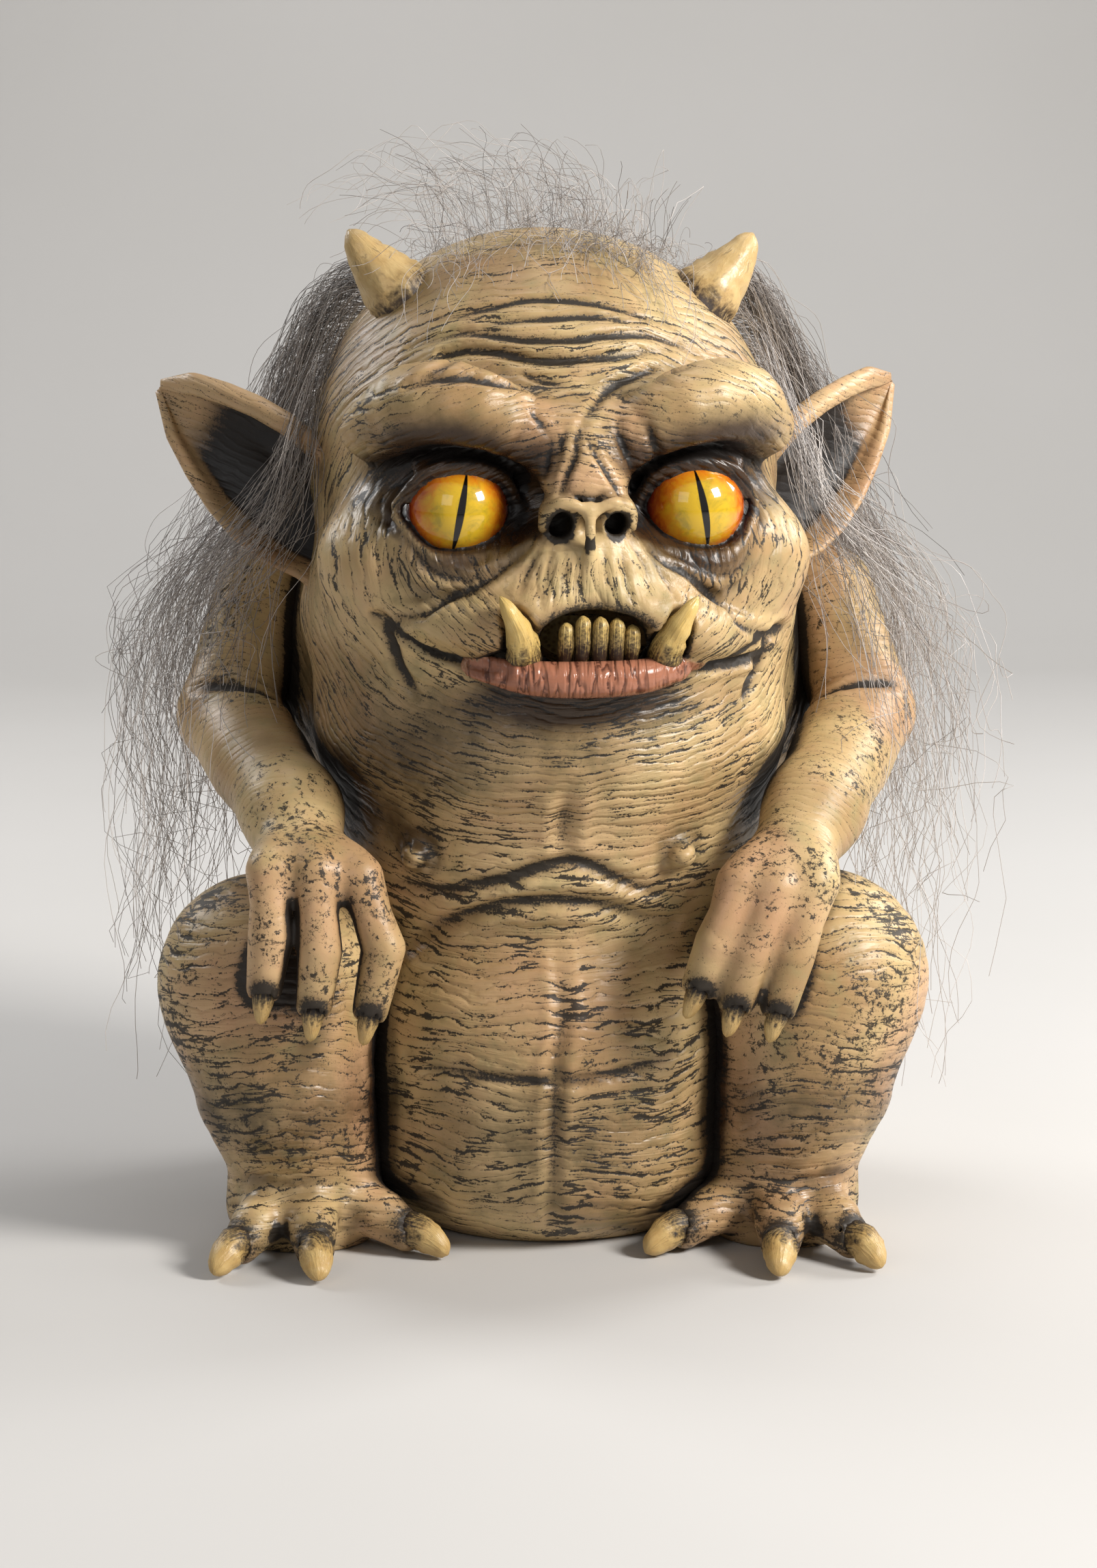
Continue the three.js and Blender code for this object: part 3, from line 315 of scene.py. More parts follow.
def skin_over(block: Array, axes: list[Array]) -> tuple[Array, Array]:
    """A mesh of four-sided faces over the zero level of a block of distances.

    Args:
        block: Distances at the grid's corners.
        axes: The grid lines along X, Y and Z.

    Returns:
        The vertices and the faces' vertex numbers.
    """
    inside = block < 0
    size = np.array(block.shape) - 1
    corners = list(product((0, 1), repeat=3))
    count = sum(
        inside[i : i + size[0], j : j + size[1], k : k + size[2]].astype(np.int8) for i, j, k in corners
    )
    cells = np.argwhere((count > 0) & (count < 8))
    number = np.full(size, -1, np.int64)
    number[tuple(cells.T)] = np.arange(len(cells))

    def corner(step: Array) -> tuple[Array, Array]:
        """The place and the distance at one corner of every cell."""
        spot = cells + step
        return np.stack([axes[k][spot[:, k]] for k in range(3)], 1), block[tuple(spot.T)]

    total, hits = np.zeros((len(cells), 3)), np.zeros(len(cells))
    for first, last in product(np.array(corners), repeat=2):
        if (last - first).sum() != 1 or (last - first).min() < 0:
            continue
        (pa, da), (pb, db) = corner(first), corner(last)
        crossed = (da < 0) != (db < 0)
        share = da[crossed] / (da[crossed] - db[crossed])
        total[crossed] += pa[crossed] + share[:, None] * (pb[crossed] - pa[crossed])
        hits[crossed] += 1
    faces = []
    for way in range(3):
        ahead = np.roll(inside, -1, axis=way)
        edge = np.argwhere((inside != ahead).take(range(size[way]), axis=way))
        edge = edge[((edge > 0) & (edge < size)).all(1) | (edge[:, way] == 0)]
        u, w = np.eye(3, dtype=int)[(way + 1) % 3], np.eye(3, dtype=int)[(way + 2) % 3]
        ring = [number[tuple((edge - step).T)] for step in (u + w, w, np.zeros(3, int), u)]
        quad = np.stack(ring, 1)
        out = inside[tuple(edge.T)]
        faces.append(np.where(out[:, None], quad, quad[:, ::-1]))
    quads = np.concatenate(faces)
    return total / hits[:, None], quads[(quads >= 0).all(1)]


def sculpt(clay: Clay, axes: list[Array]) -> tuple[Array, Array, Array]:
    """Turns clay into a mesh whose vertices lie on its surface.

    Args:
        clay: The clay.
        axes: The grid lines along X, Y and Z.

    Returns:
        The vertices, their normals and the faces.
    """
    at, quads = skin_over(on_grid(clay, axes), axes)
    at = at.astype(np.float32)
    for _ in range(2):
        at -= clay.normals(at) * np.clip(clay.distance(at), -1, 1)[:, None]
    return at, clay.normals(at), quads


def lattice(at: Array, seed: int) -> Array:
    """Smooth noise from 0 to 1 with one bump to the unit of length."""
    cell = np.floor(at).astype(np.int64)
    part = at - cell
    part = part * part * (3 - 2 * part)
    total = np.zeros(len(at))
    for step in product((0, 1), repeat=3):
        spot = cell + np.array(step)
        mixed = spot[:, 0] * 73856093 ^ spot[:, 1] * 19349663 ^ spot[:, 2] * 83492791 ^ seed * 2654435
        mixed = (mixed ^ (mixed >> 13)) * 1274126177 & 0x7FFFFFFF
        weight = np.prod(np.where(step, part, 1 - part), axis=1)
        total += weight * ((mixed ^ (mixed >> 16)) & 0xFFFF) / 0xFFFF
    return total


def smooth(value: Array, low: float, high: float) -> Array:
    """An even step from 0 at low to 1 at high."""
    share = np.clip((value - low) / (high - low), 0, 1)
    return share * share * (3 - 2 * share)


def blob(at: Array, middle: Point, reach: Point) -> Array:
    """A soft spot: 1 in the middle, falling off over the reach."""
    near = (at - np.array(middle)) / np.array(reach)
    return np.exp(-(near * near).sum(1))


def through(points: Array, pitch: float = 1.2) -> Array:
    """Points close together on a smooth curve through a few points."""
    ends = np.concatenate([2 * points[:1] - points[1:2], points, 2 * points[-1:] - points[-2:-1]])
    curve = []
    for i in range(1, len(ends) - 2):
        a, b, c, d = ends[i - 1 : i + 3]
        steps = max(int(np.linalg.norm(c - b) / pitch), 2)
        t = np.linspace(0, 1, steps, endpoint=False)[:, None]
        curve.append(
            0.5 * (2 * b + (c - a) * t + (2 * a - 5 * b + 4 * c - d) * t**2 + (3 * b - a - 3 * c + d) * t**3)
        )
    return np.concatenate([*curve, points[-1:]])


@dataclass(frozen=True)
class Furrow:
    """A carved line, by points across and up on the front, with its width and depth."""

    points: tuple[tuple[float, float], ...]
    width: float = 1.7
    depth: float = 1.1
    ink: float = 1.0


@dataclass
class Paint:
    """What the paint needs to know at every vertex, from 0 to 1 but for the ring.

    Attributes:
        ring: A length across the wrinkles, in millimetres.
        line: How strongly fine wrinkles show.
        ink: Dark wash in the wrinkles and furrows, and black painted shade in hollows, in holes, under
            overhangs and where parts meet.
        brown: Brown airbrushing round the eyes, and brown painted shade in creases, under the brow, lip and
            chin, low on the belly and on the figure's right side.
        pink: Flesh tint.
        lip: Wet lip.
        speck: Dry-brushed specks.
    """

    ring: Array
    line: Array
    ink: Array
    brown: Array
    pink: Array
    lip: Array
    speck: Array

    @classmethod
    def bare(cls, count: int) -> "Paint":
        """Paint with nothing on it, for a number of vertices."""
        return cls(*(np.zeros(count) for _ in range(7)))

    def darken(self, ink: Array) -> None:
        """Adds dark wash and painted shade where there is less of it."""
        self.ink = np.maximum(self.ink, ink)

    def onto(self, mesh: Mesh) -> None:
        """Stores the paint as attributes of a mesh."""
        for name, values in vars(self).items():
            store(mesh, name, values if name == "ring" else np.clip(values, 0, 1))


def store(mesh: Mesh, name: str, values: Array) -> None:
    """Stores numbers, or points, at a mesh's vertices under a name."""
    flat = np.ascontiguousarray(values, np.float32)
    kind = "FLOAT" if flat.ndim == 1 else "FLOAT_VECTOR"
    layer = mesh.attributes.new(name, kind, "POINT")
    layer.data.foreach_set("value" if flat.ndim == 1 else "vector", flat.ravel())


def carve(at: Array, normal: Array, curve: Array, furrow: Furrow, paint: Paint) -> None:
    """Carves one furrow, given as points on the surface, and inks it.

    Args:
        at: The vertices, which are moved.
        normal: Their normals.
        curve: The furrow's points.
        furrow: Its width, depth and ink.
        paint: The paint, whose ink is added to.
    """
    room = 3 * furrow.width
    near = ((at > curve.min(0) - room) & (at < curve.max(0) + room)).all(1).nonzero()[0]
    if not len(near):
        return
    gaps = np.linalg.norm(at[near, None, :] - curve[None, :, :], axis=2)
    nearest = gaps.argmin(1)
    gap = gaps[np.arange(len(near)), nearest] / furrow.width
    taper = np.sin(np.pi * np.clip((nearest + 0.5) / len(curve), 0.04, 0.96)) ** 0.5
    groove = np.exp(-gap * gap) - 0.4 * np.exp(-((gap - 1.7) ** 2) * 2)
    at[near] -= normal[near] * (furrow.depth * taper * groove)[:, None]
    paint.ink[near] = np.maximum(paint.ink[near], furrow.ink * taper * np.exp(-(gap**2) * 1.3))


def wrinkle(at: Array, normal: Array, paint: Paint, depth: Array | float, seed: int) -> None:
    """Raises low wrinkles that run along the ring lines, and inks their valleys a little.

    Args:
        at: The vertices, which are moved.
        normal: Their normals.
        paint: The paint, with its rings set.
        depth: How deep the wrinkles are.
        seed: Picks the pattern.
    """
    along = np.stack([0.035 * at[:, 0], 0.03 * (at[:, 1] + at[:, 2])], 1)
    fold = lattice(np.concatenate([along, 0.2 * paint.ring[:, None]], 1), seed)
    fine = lattice(np.concatenate([1.9 * along + 9, 0.4 * paint.ring[:, None]], 1), seed + 1)
    height = 0.65 * np.abs(2 * fold - 1) + 0.35 * fine
    at += normal * (depth * (height - 0.5))[:, None]
    paint.darken(0.34 * paint.line * smooth(0.22 - height, 0, 0.18))


def hollowness(clays: list[Clay], at: Array, normal: Array) -> Array:
    """How closed in every vertex is, from 0 in the open to 1 deep in a crease."""
    closed = np.zeros(len(at))
    for reach, weight in ((2.5, 0.5), (6.0, 0.35), (13.0, 0.3)):
        spot = (at + reach * normal).astype(np.float32)
        free = np.minimum.reduce([clay.distance(spot) for clay in clays])
        closed += weight * np.clip(1 - free / reach, 0, 1)
    return closed


def seam_wash(at: Array) -> Array:
    """How strong the dark wash and painted shade where parts meet are: full in front, thinner behind."""
    return 1 - 0.5 * smooth(at[:, 1], 5, 45)


def piece(name: str, at: Array, faces: Array | list, sharp: bool = False) -> Object:
    """Makes an object of millimetre vertices at the origin, in metres.

    Args:
        name: The piece's name.
        at: The vertices.
        faces: The faces' vertex numbers.
        sharp: Whether the faces stay flat.

    Returns:
        The new object, linked to the scene.
    """
    mesh = bpy.data.meshes.new(name)
    rows = faces.tolist() if isinstance(faces, np.ndarray) else faces
    mesh.from_pydata((np.asarray(at) * MM).tolist(), [], rows)
    mesh.polygons.foreach_set("use_smooth", [not sharp] * len(mesh.polygons))
    mesh.update()
    made = bpy.data.objects.new(name, mesh)
    bpy.context.scene.collection.objects.link(made)
    return made


def dress(made: Object, material: Material, slot: str, *nodes: str) -> None:
    """Gives a piece its material and its place in the frame, and reports it.

    Args:
        made: The piece.
        material: Its material.
        slot: A material slot's name; not used.
        nodes: The frame's nodes that the piece stands for.
    """
    made.data.materials.clear()
    made.data.materials.append(material)
    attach(made, "root")
    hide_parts(*nodes)
    LOG.info("%s: %d faces for %s", made.name, len(made.data.polygons), ", ".join(nodes))


# Finishes


class Wiring:
    """Adds and links the nodes of one tree."""

    def __init__(self, tree: NodeTree) -> None:
        """Takes the tree that the nodes go into."""
        self.tree = tree

    def node(self, kind: str, inputs: dict | None = None, **settings: object) -> Node:
        """Adds a node.

        Args:
            kind: The node's type.
            inputs: Values or sockets for its inputs, by name or number.
            settings: Its own settings.

        Returns:
            The node.
        """
        made = self.tree.nodes.new(kind)
        for key, value in settings.items():
            setattr(made, key, value)
        self.feed(made, inputs or {})
        return made

    def out(self, kind: str, inputs: dict | None = None, **settings: object) -> Socket:
        """The first output of a new node, which takes what node() does."""
        return self.node(kind, inputs, **settings).outputs[0]

    def feed(self, made: Node, inputs: dict[str | int, object]) -> None:
        """Links sockets to a node's inputs, and sets the plain values among them."""
        for key, value in inputs.items():
            if isinstance(value, Socket):
                self.tree.links.new(value, made.inputs[key])
            else:
                made.inputs[key].default_value = value

    def math(self, operation: str, *terms: Value, clamp: bool = False) -> Socket:
        """A sum, product or other operation on numbers."""
        return self.out("ShaderNodeMath", dict(enumerate(terms)), operation=operation, use_clamp=clamp)

    def times(self, value: Socket, by: Value) -> Socket:
        """A number times another."""
        return self.math("MULTIPLY", value, by)

    def times_plus(self, value: Socket, by: Value, base: Value, clamp: bool = False) -> Socket:
        """A number times another, plus a base."""
        return self.math("MULTIPLY_ADD", value, by, base, clamp=clamp)

    def vector(self, operation: str, *terms: Socket | Point) -> Socket:
        """A sum, product or other operation on vectors."""
        return self.out("ShaderNodeVectorMath", dict(enumerate(terms)), operation=operation)

    def scaled(self, vector: Socket, by: Value) -> Socket:
        """A vector times a number."""
        return self.out("ShaderNodeVectorMath", {0: vector, 3: by}, operation="SCALE")

    def step(self, value: Socket, low: Value, high: Value) -> Socket:
        """A smooth step from 0 at low to 1 at high."""
        inputs = {"Value": value, "From Min": low, "From Max": high}
        return self.out("ShaderNodeMapRange", inputs, interpolation_type="SMOOTHSTEP")

    def mix(self, share: Value, first: Socket | Colour, last: Socket | Colour) -> Socket:
        """A mix of two colours."""
        return self.node("ShaderNodeMix", {0: share, 6: first, 7: last}, data_type="RGBA").outputs[2]

    def noise(
        self, at: Socket, scale: Value, detail: float = 2.0, rough: float = 0.5, bend: float = 0.0
    ) -> Socket:
        """Noise at a place."""
        inputs = {"Vector": at, "Scale": scale, "Detail": detail, "Roughness": rough, "Distortion": bend}
        return self.out("ShaderNodeTexNoise", inputs)

    def about_zero(self, value: Socket, strength: float, base: Value, clamp: bool = False) -> Socket:
        """A base plus a strength of a noise that is centred on zero."""
        return self.times_plus(self.math("SUBTRACT", value, 0.5), strength, base, clamp=clamp)

    def attribute(self, name: str) -> Socket:
        """A number stored at the vertices."""
        return self.node("ShaderNodeAttribute", attribute_name=name).outputs["Fac"]

    def valley(self, at: Socket) -> Socket:
        """The distance from the nearest line of a net of wrinkles: 0 in it, about 0.2 between."""
        return self.math("ABSOLUTE", self.math("SUBTRACT", self.noise(at, 1.0, 2.0, 0.5, 0.3), 0.5))

    def place(self) -> Socket:
        """The place on the object, in millimetres."""
        return self.scaled(self.node("ShaderNodeTexCoord").outputs["Object"], 1 / MM)

    def stretched(self, at: Socket, along: float, ring: Socket, across: float) -> Socket:
        """A place drawn out along the ring lines."""
        parts = self.node("ShaderNodeSeparateXYZ", {0: at}).outputs
        level = self.math("ADD", parts[1], parts[2])
        inputs = {
            0: self.times(parts[0], along),
            1: self.times(level, along),
            2: self.times(ring, across),
        }
        return self.out("ShaderNodeCombineXYZ", inputs)

    def bump(self, height: Socket, strength: float, depth: float) -> Socket:
        """A bumped normal. The depth is in millimetres."""
        inputs = {"Strength": strength, "Distance": depth * MM, "Height": height}
        return self.out("ShaderNodeBump", inputs)


def new_material(name: str) -> tuple[Material, Wiring, Node]:
    """An empty material with a shader, its wiring and the shader node."""
    material = bpy.data.materials.new(name)
    material.use_nodes = True
    material.node_tree.nodes.clear()
    wiring = Wiring(material.node_tree)
    shader = wiring.node("ShaderNodeBsdfPrincipled")
    wiring.node("ShaderNodeOutputMaterial", {"Surface": shader.outputs[0]})
    return material, wiring, shader


def rgb(red: float, green: float, blue: float) -> Colour:
    """A linear colour from one written in 0 to 255 as a screen shows it."""
    linear = [((c / 255 + 0.055) / 1.055) ** 2.4 if c > 10 else c / 255 / 12.92 for c in (red, green, blue)]
    return (*linear, 1.0)


def new_group(
    name: str, inputs: dict[str, str], outputs: dict[str, str]
) -> tuple[Wiring, dict[str, Socket], Node]:
    """A shader node group.

    Args:
        name: The group's name.
        inputs: Its inputs' names and socket types.
        outputs: Its outputs' names and socket types.

    Returns:
        The group's wiring, its input sockets by name and its output node.
    """
    tree = bpy.data.node_groups.new(name, "ShaderNodeTree")
    for label, kind in inputs.items():
        tree.interface.new_socket(label, in_out="INPUT", socket_type=kind)
    for label, kind in outputs.items():
        tree.interface.new_socket(label, in_out="OUTPUT", socket_type=kind)
    wiring = Wiring(tree)
    start = wiring.node("NodeGroupInput")
    end = wiring.node("NodeGroupOutput")
    return wiring, {label: start.outputs[label] for label in inputs}, end


NUMBER, VECTOR = "NodeSocketFloat", "NodeSocketVector"


class Washes:
    """Shader groups for dark paint that is wiped off and stays in lines, hollows and grain, and for painted
    shade in the hollows.
    """

    WRINKLE_PITCH = 2.8

    @classmethod
    @cache
    def skin(cls) -> NodeTree:
        """The wash on latex: ragged lines in the fine wrinkles, specks, and black in the hollows, which is
        wash and painted shade.
        """
        inputs = {"Place": VECTOR, "Ring": NUMBER, "Line": NUMBER, "Ink": NUMBER, "Speck": NUMBER}
        outputs = {"Wash": NUMBER, "Stain": NUMBER, "Height": NUMBER}
        w, given, end = new_group("skin_wash", inputs, outputs)
        at, ring, line = given["Place"], given["Ring"], given["Line"]
        grain = w.math("SUBTRACT", w.noise(at, 1.4, 3.0, 0.7), 0.5)
        patch = w.step(w.noise(at, 0.035, 3.0, 0.6), 0.34, 0.66)
        held = w.step(w.noise(w.stretched(at, 0.08, ring, 0.16), 1.0, 3.0, 0.7), 0.4, 0.62)
        phase = w.times(ring, math.pi / cls.WRINKLE_PITCH)
        phase = w.times_plus(w.noise(at, 0.05, 3.0, 0.6), 9.0, phase)
        broad = w.times(w.math("ABSOLUTE", w.math("SINE", phase)), 0.2)
        fine = w.valley(w.stretched(at, 0.05, ring, 0.6))
        wide = w.times(w.times_plus(patch, 0.085, 0.05), held)
        wide = w.times_plus(grain, 0.3, w.times(wide, line))
        thin = w.times(wide, 0.4)
        lines = w.step(broad, wide, w.math("SUBTRACT", wide, 0.03))
        lines = w.math("MAXIMUM", lines, w.step(fine, thin, w.math("SUBTRACT", thin, 0.02)))
        lines = w.times(lines, w.step(line, 0.05, 0.4))
        thick = w.times_plus(w.math("POWER", given["Speck"], 2.0), -0.1, -0.03)
        thick = w.times(thick, patch)
        dots = w.math("ADD", thick, w.noise(at, 0.4, 5.0, 0.8))
        specks = w.times(w.step(dots, 0.36, 0.31), given["Speck"])
        # The ink input carries wash and painted shade of hollows, holes and seams; it turns black here with
        # ragged edges
        rough_ink = w.times_plus(grain, 0.9, given["Ink"])
        rough_ink = w.times_plus(w.math("SUBTRACT", 0.08, fine), 1.2, rough_ink)
        run = w.step(rough_ink, 0.4, 0.68)
        wash = w.math("MAXIMUM", w.math("MAXIMUM", lines, specks), run, clamp=True)
        soft = w.times(w.step(broad, 0.08, 0.0), line)
        soft = w.times(soft, w.times_plus(patch, 0.4, 0.15))
        # A soft brown halo round the inked places: round the wrinkles a wash stain, round the hollows painted
        # shade
        pooled = w.times(w.step(given["Ink"], 0.02, 0.7), 0.85)
        soft = w.math("MAXIMUM", soft, pooled, clamp=True)
        height = w.times(w.step(broad, 0.0, 0.2), 0.5)
        height = w.times_plus(w.step(fine, 0.0, 0.18), 0.2, height)
        height = w.times(height, w.times_plus(line, 0.85, 0.15))
        height = w.times_plus(grain, 0.12, height)
        w.feed(end, {"Wash": wash, "Stain": soft, "Height": height})
        return w.tree

    @classmethod
    @cache
    def ivory(cls) -> NodeTree:
        """The stain on horn and tooth: dark at the root and in streaks along the length."""
        inputs = {"Place": VECTOR, "Root": NUMBER, "Turn": NUMBER, "Scale": NUMBER}
        w, given, end = new_group("ivory_stain", inputs, {"Stain": NUMBER, "Height": NUMBER})
        drawn_out = {0: w.times(given["Turn"], 5.0), 1: w.times(given["Root"], 1.6)}
        streak = w.noise(w.out("ShaderNodeCombineXYZ", drawn_out), 2.0, 3.0, 0.6, 0.4)
        grain = w.noise(given["Place"], given["Scale"], 3.0, 0.7)
        root = w.about_zero(streak, 0.7, w.about_zero(grain, 0.5, given["Root"]))
        lines = w.times(w.step(streak, 0.42, 0.3), 0.45)
        stain = w.math("MAXIMUM", w.step(root, 0.36, 0.72), lines, clamp=True)
        w.feed(end, {"Stain": stain, "Height": w.times_plus(grain, 0.3, streak)})
        return w.tree


@dataclass(frozen=True)
class LatexFinish:
    """Ochre latex with flesh and green tints under a black wash, with brown and black painted shade in its
    hollows and on its shaded side, half glossy.
    """

    name: str = "painted_latex"
    ochre: Colour = rgb(196, 170, 122)
    tan: Colour = rgb(160, 130, 88)
    flesh: Colour = rgb(192, 146, 114)
    moss: Colour = rgb(148, 140, 96)
    # The brown, the stain and the ink also paint shade: brown in creases, under the brow, lip and chin and on
    # the figure's right side, stain round the dark hollows, ink in hollows, holes and seams
    brown: Colour = rgb(46, 26, 12)
    lip: Colour = rgb(158, 104, 80)
    crack: Colour = rgb(70, 36, 26)
    stain: Colour = rgb(72, 52, 30)
    ink: Colour = rgb(22, 19, 17)
    bump: float = 0.6

    def material(self) -> Material:
        """Builds the material."""
        material, w, shader = new_material(self.name)
        at = w.place()
        wash = w.node("ShaderNodeGroup", node_tree=Washes.skin())
        stored = {name: w.attribute(name.lower()) for name in ("Ring", "Line", "Ink", "Speck")}
        w.feed(wash, {"Place": at} | stored)
        cloud = w.noise(at, 0.022, 3.0, 0.55)
        mottle = w.noise(at, 0.09, 4.0, 0.65)
        colour = w.mix(w.step(cloud, 0.36, 0.66), self.ochre, self.tan)
        colour = w.mix(w.times(w.step(mottle, 0.5, 0.75), 0.5), colour, self.moss)
        flesh = w.times_plus(w.step(mottle, 0.55, 0.3), 0.35, w.attribute("pink"), clamp=True)
        colour = w.mix(w.times(flesh, 0.6), colour, self.flesh)
        # Brown stain in the wrinkle valleys, with a halo of painted shade round the dark hollows
        colour = w.mix(w.times(wash.outputs["Stain"], 0.7), colour, self.stain)
        # Brown airbrushing, and brown painted shade
        brown = w.about_zero(mottle, 0.5, w.attribute("brown"))
        colour = w.mix(w.times(w.step(brown, 0.1, 0.85), 0.95), colour, self.brown)
        lip = w.attribute("lip")
        parts = w.node("ShaderNodeSeparateXYZ", {0: at}).outputs
        crease_at = {0: w.times(parts[0], 0.24), 1: w.times(parts[2], 0.05)}
        crack = w.noise(w.out("ShaderNodeCombineXYZ", crease_at), 1.0, 2.0, 0.5)
        crack = w.math("ABSOLUTE", w.math("SUBTRACT", crack, 0.5))
        torn = w.times(w.step(w.noise(at, 0.35, 3.0, 0.6), 0.36, 0.56), 0.05)
        colour = w.mix(lip, colour, self.lip)
        colour = w.mix(w.times(w.step(crack, torn, -0.01), lip), colour, self.crack)
        # Black wash, and black painted shade in hollows, holes and seams
        colour = w.mix(w.times(wash.outputs["Wash"], 0.93), colour, self.ink)
        rough = w.about_zero(mottle, 0.3, w.times_plus(wash.outputs["Wash"], 0.2, 0.4))
        rough = w.times_plus(lip, -0.2, rough)
        rough = w.times_plus(w.attribute("brown"), -0.12, rough, clamp=True)
        relief = w.times(w.step(crack, 0.0, 0.12), lip)
        normal = w.bump(w.math("ADD", wash.outputs["Height"], relief), 0.9, self.bump)
        w.feed(shader, {"Base Color": colour, "Roughness": rough, "Normal": normal})
        w.feed(shader, {"Specular IOR Level": 0.4})
        return material


@dataclass(frozen=True)
class IvoryFinish:
    """Yellow ivory with a dark stained root."""

    name: str
    pale: Colour = rgb(208, 184, 132)
    deep: Colour = rgb(172, 134, 78)
    stain: Colour = rgb(44, 28, 14)
    grain: float = 0.9
    roughness: float = 0.36

    def material(self) -> Material:
        """Builds the material."""
        material, w, shader = new_material(self.name)
        at = w.place()
        stain = w.node("ShaderNodeGroup", node_tree=Washes.ivory())
        inputs = {"Place": at, "Root": w.attribute("root"), "Turn": w.attribute("turn"), "Scale": self.grain}
        w.feed(stain, inputs)
        colour = w.mix(w.noise(at, 0.25, 3.0, 0.6), self.pale, self.deep)
        colour = w.mix(stain.outputs["Stain"], colour, self.stain)
        rough = w.times_plus(stain.outputs["Stain"], 0.2, self.roughness)
        normal = w.bump(stain.outputs["Height"], 0.6, 0.6)
        w.feed(shader, {"Base Color": colour, "Roughness": rough, "Normal": normal})
        return material


@dataclass(frozen=True)
class EyeFinish:
    """A painted amber iris with a slit pupil under clear gloss."""

    name: str = "glassy_eye"
    yellow: Colour = rgb(206, 168, 36)
    olive: Colour = rgb(158, 138, 40)
    amber: Colour = rgb(204, 112, 20)
    rust: Colour = rgb(158, 50, 14)
    rim: Colour = rgb(80, 18, 8)
    pupil: Colour = rgb(10, 6, 4)
    slit: float = 0.07

    def material(self) -> Material:
        """Builds the material."""
        material, w, shader = new_material(self.name)
        gaze = w.node("ShaderNodeAttribute", attribute_name="gaze").outputs["Vector"]
        x, _, z = w.node("ShaderNodeSeparateXYZ", {0: gaze}).outputs
        streaks = w.noise(gaze, 5.0, 4.0, 0.65, 0.8)
        reach = w.math("SQRT", w.math("ADD", w.times(x, x), w.times(z, z)))
        # Amber, then rust and a dark rim, towards the ball's edge
        rimward = w.about_zero(streaks, 0.45, reach)
        cloud = w.noise(gaze, 2.6, 5.0, 0.7, 0.6)
        colour = w.mix(w.times(w.step(cloud, 0.46, 0.7), 0.85), self.yellow, self.olive)
        colour = w.mix(w.step(rimward, 0.44, 0.86), colour, self.amber)
        colour = w.mix(w.step(rimward, 0.72, 1.0), colour, self.rust)
        colour = w.mix(w.step(reach, 0.9, 1.0), colour, self.rim)
        high = w.math("DIVIDE", z, 0.84)
        width = w.times(w.math("SUBTRACT", 1.0, w.times(high, high)), self.slit)
        edge = w.math("SUBTRACT", w.math("ABSOLUTE", x), width)
        colour = w.mix(w.step(edge, 0.014, -0.006), colour, self.pupil)
        w.feed(shader, {"Base Color": colour, "Roughness": w.times_plus(streaks, 0.2, 0.12)})
        w.feed(shader, {"Specular IOR Level": 0.1, "Coat Weight": 1.0, "Coat Roughness": 0.04})
        return material


@dataclass(frozen=True)
class FibreFinish:
    """Grey synthetic hair, each strand with its own tone."""

    name: str = "grey_fibre"
    dark: Colour = rgb(80, 72, 67)
    pale: Colour = rgb(196, 188, 182)

    def material(self) -> Material:
        """Builds the material."""
        material, w, shader = new_material(self.name)
        tone = w.about_zero(w.noise(w.place(), 0.05, 2.0), 0.5, w.attribute("tone"), clamp=True)
        rough = w.times_plus(tone, -0.12, 0.5)
        colour = w.mix(tone, self.dark, self.pale)
        w.feed(shader, {"Base Color": colour, "Roughness": rough, "Specular IOR Level": 0.6})
        return material


@dataclass(frozen=True)
class CellFinish:
    """Foam or rubber with open cells."""

    name: str
    wall: Colour
    # The darker colour at the bottom of the cells: painted shade
    pit: Colour
    cell: float
    roughness: float = 0.9

    def material(self) -> Material:
        """Builds the material."""
        material, w, shader = new_material(self.name)
        cells = w.node("ShaderNodeTexVoronoi", {"Vector": w.place(), "Scale": self.cell}).outputs["Distance"]
        # The cells' pits are painted darker: painted shade
        colour = w.mix(w.step(cells, 0.1, 0.7), self.pit, self.wall)
        rough = w.times_plus(cells, -0.1, self.roughness)
        w.feed(shader, {"Base Color": colour, "Roughness": rough, "Normal": w.bump(cells, 0.5, 0.5)})
        return material


# The figure's sub-assemblies


@dataclass
class Limb:
    """A limb cast on its own: clay, a grid that holds it and the joints along it.

    Attributes:
        clay: Its own clay.
        axes: The grid lines to sculpt it on.
        spine: Points along its middle, for the rings round it.
        sockets: Where claws are set in, which the wash has run into.
        run: How far it has run from there.
        level: How far the wrinkles lie level, rather than square to the spine.
        coarse: How much wider apart the wrinkles are than on the face.
        folds: Short deep creases in the bend of a joint.
    """

    clay: Clay
    axes: list[Array]
    spine: list[Array]
    sockets: list[Array]
    run: float
    level: float = 1.0
    coarse: float = 1.0
    folds: list[Array] = field(default_factory=list)

    def rings(self, at: Array) -> Array:
        """Lengths along the limb's spine, for wrinkles that run round it."""
        best, length = np.full(len(at), FAR), np.zeros(len(at))
        start = 0.0
        for first, last in pairwise(self.spine):
            along = last - first
            reach = np.linalg.norm(along)
            share = np.clip((at - first) @ along / reach**2, 0, 1)
            gap = np.linalg.norm(at - (first + share[:, None] * along), axis=1)
            length = np.where(gap < best, start + share * reach, length)
            best = np.minimum(best, gap)
            start += reach
        return ((1 - self.level) * length - self.level * (at[:, 2] + 0.2 * at[:, 1])) / self.coarse


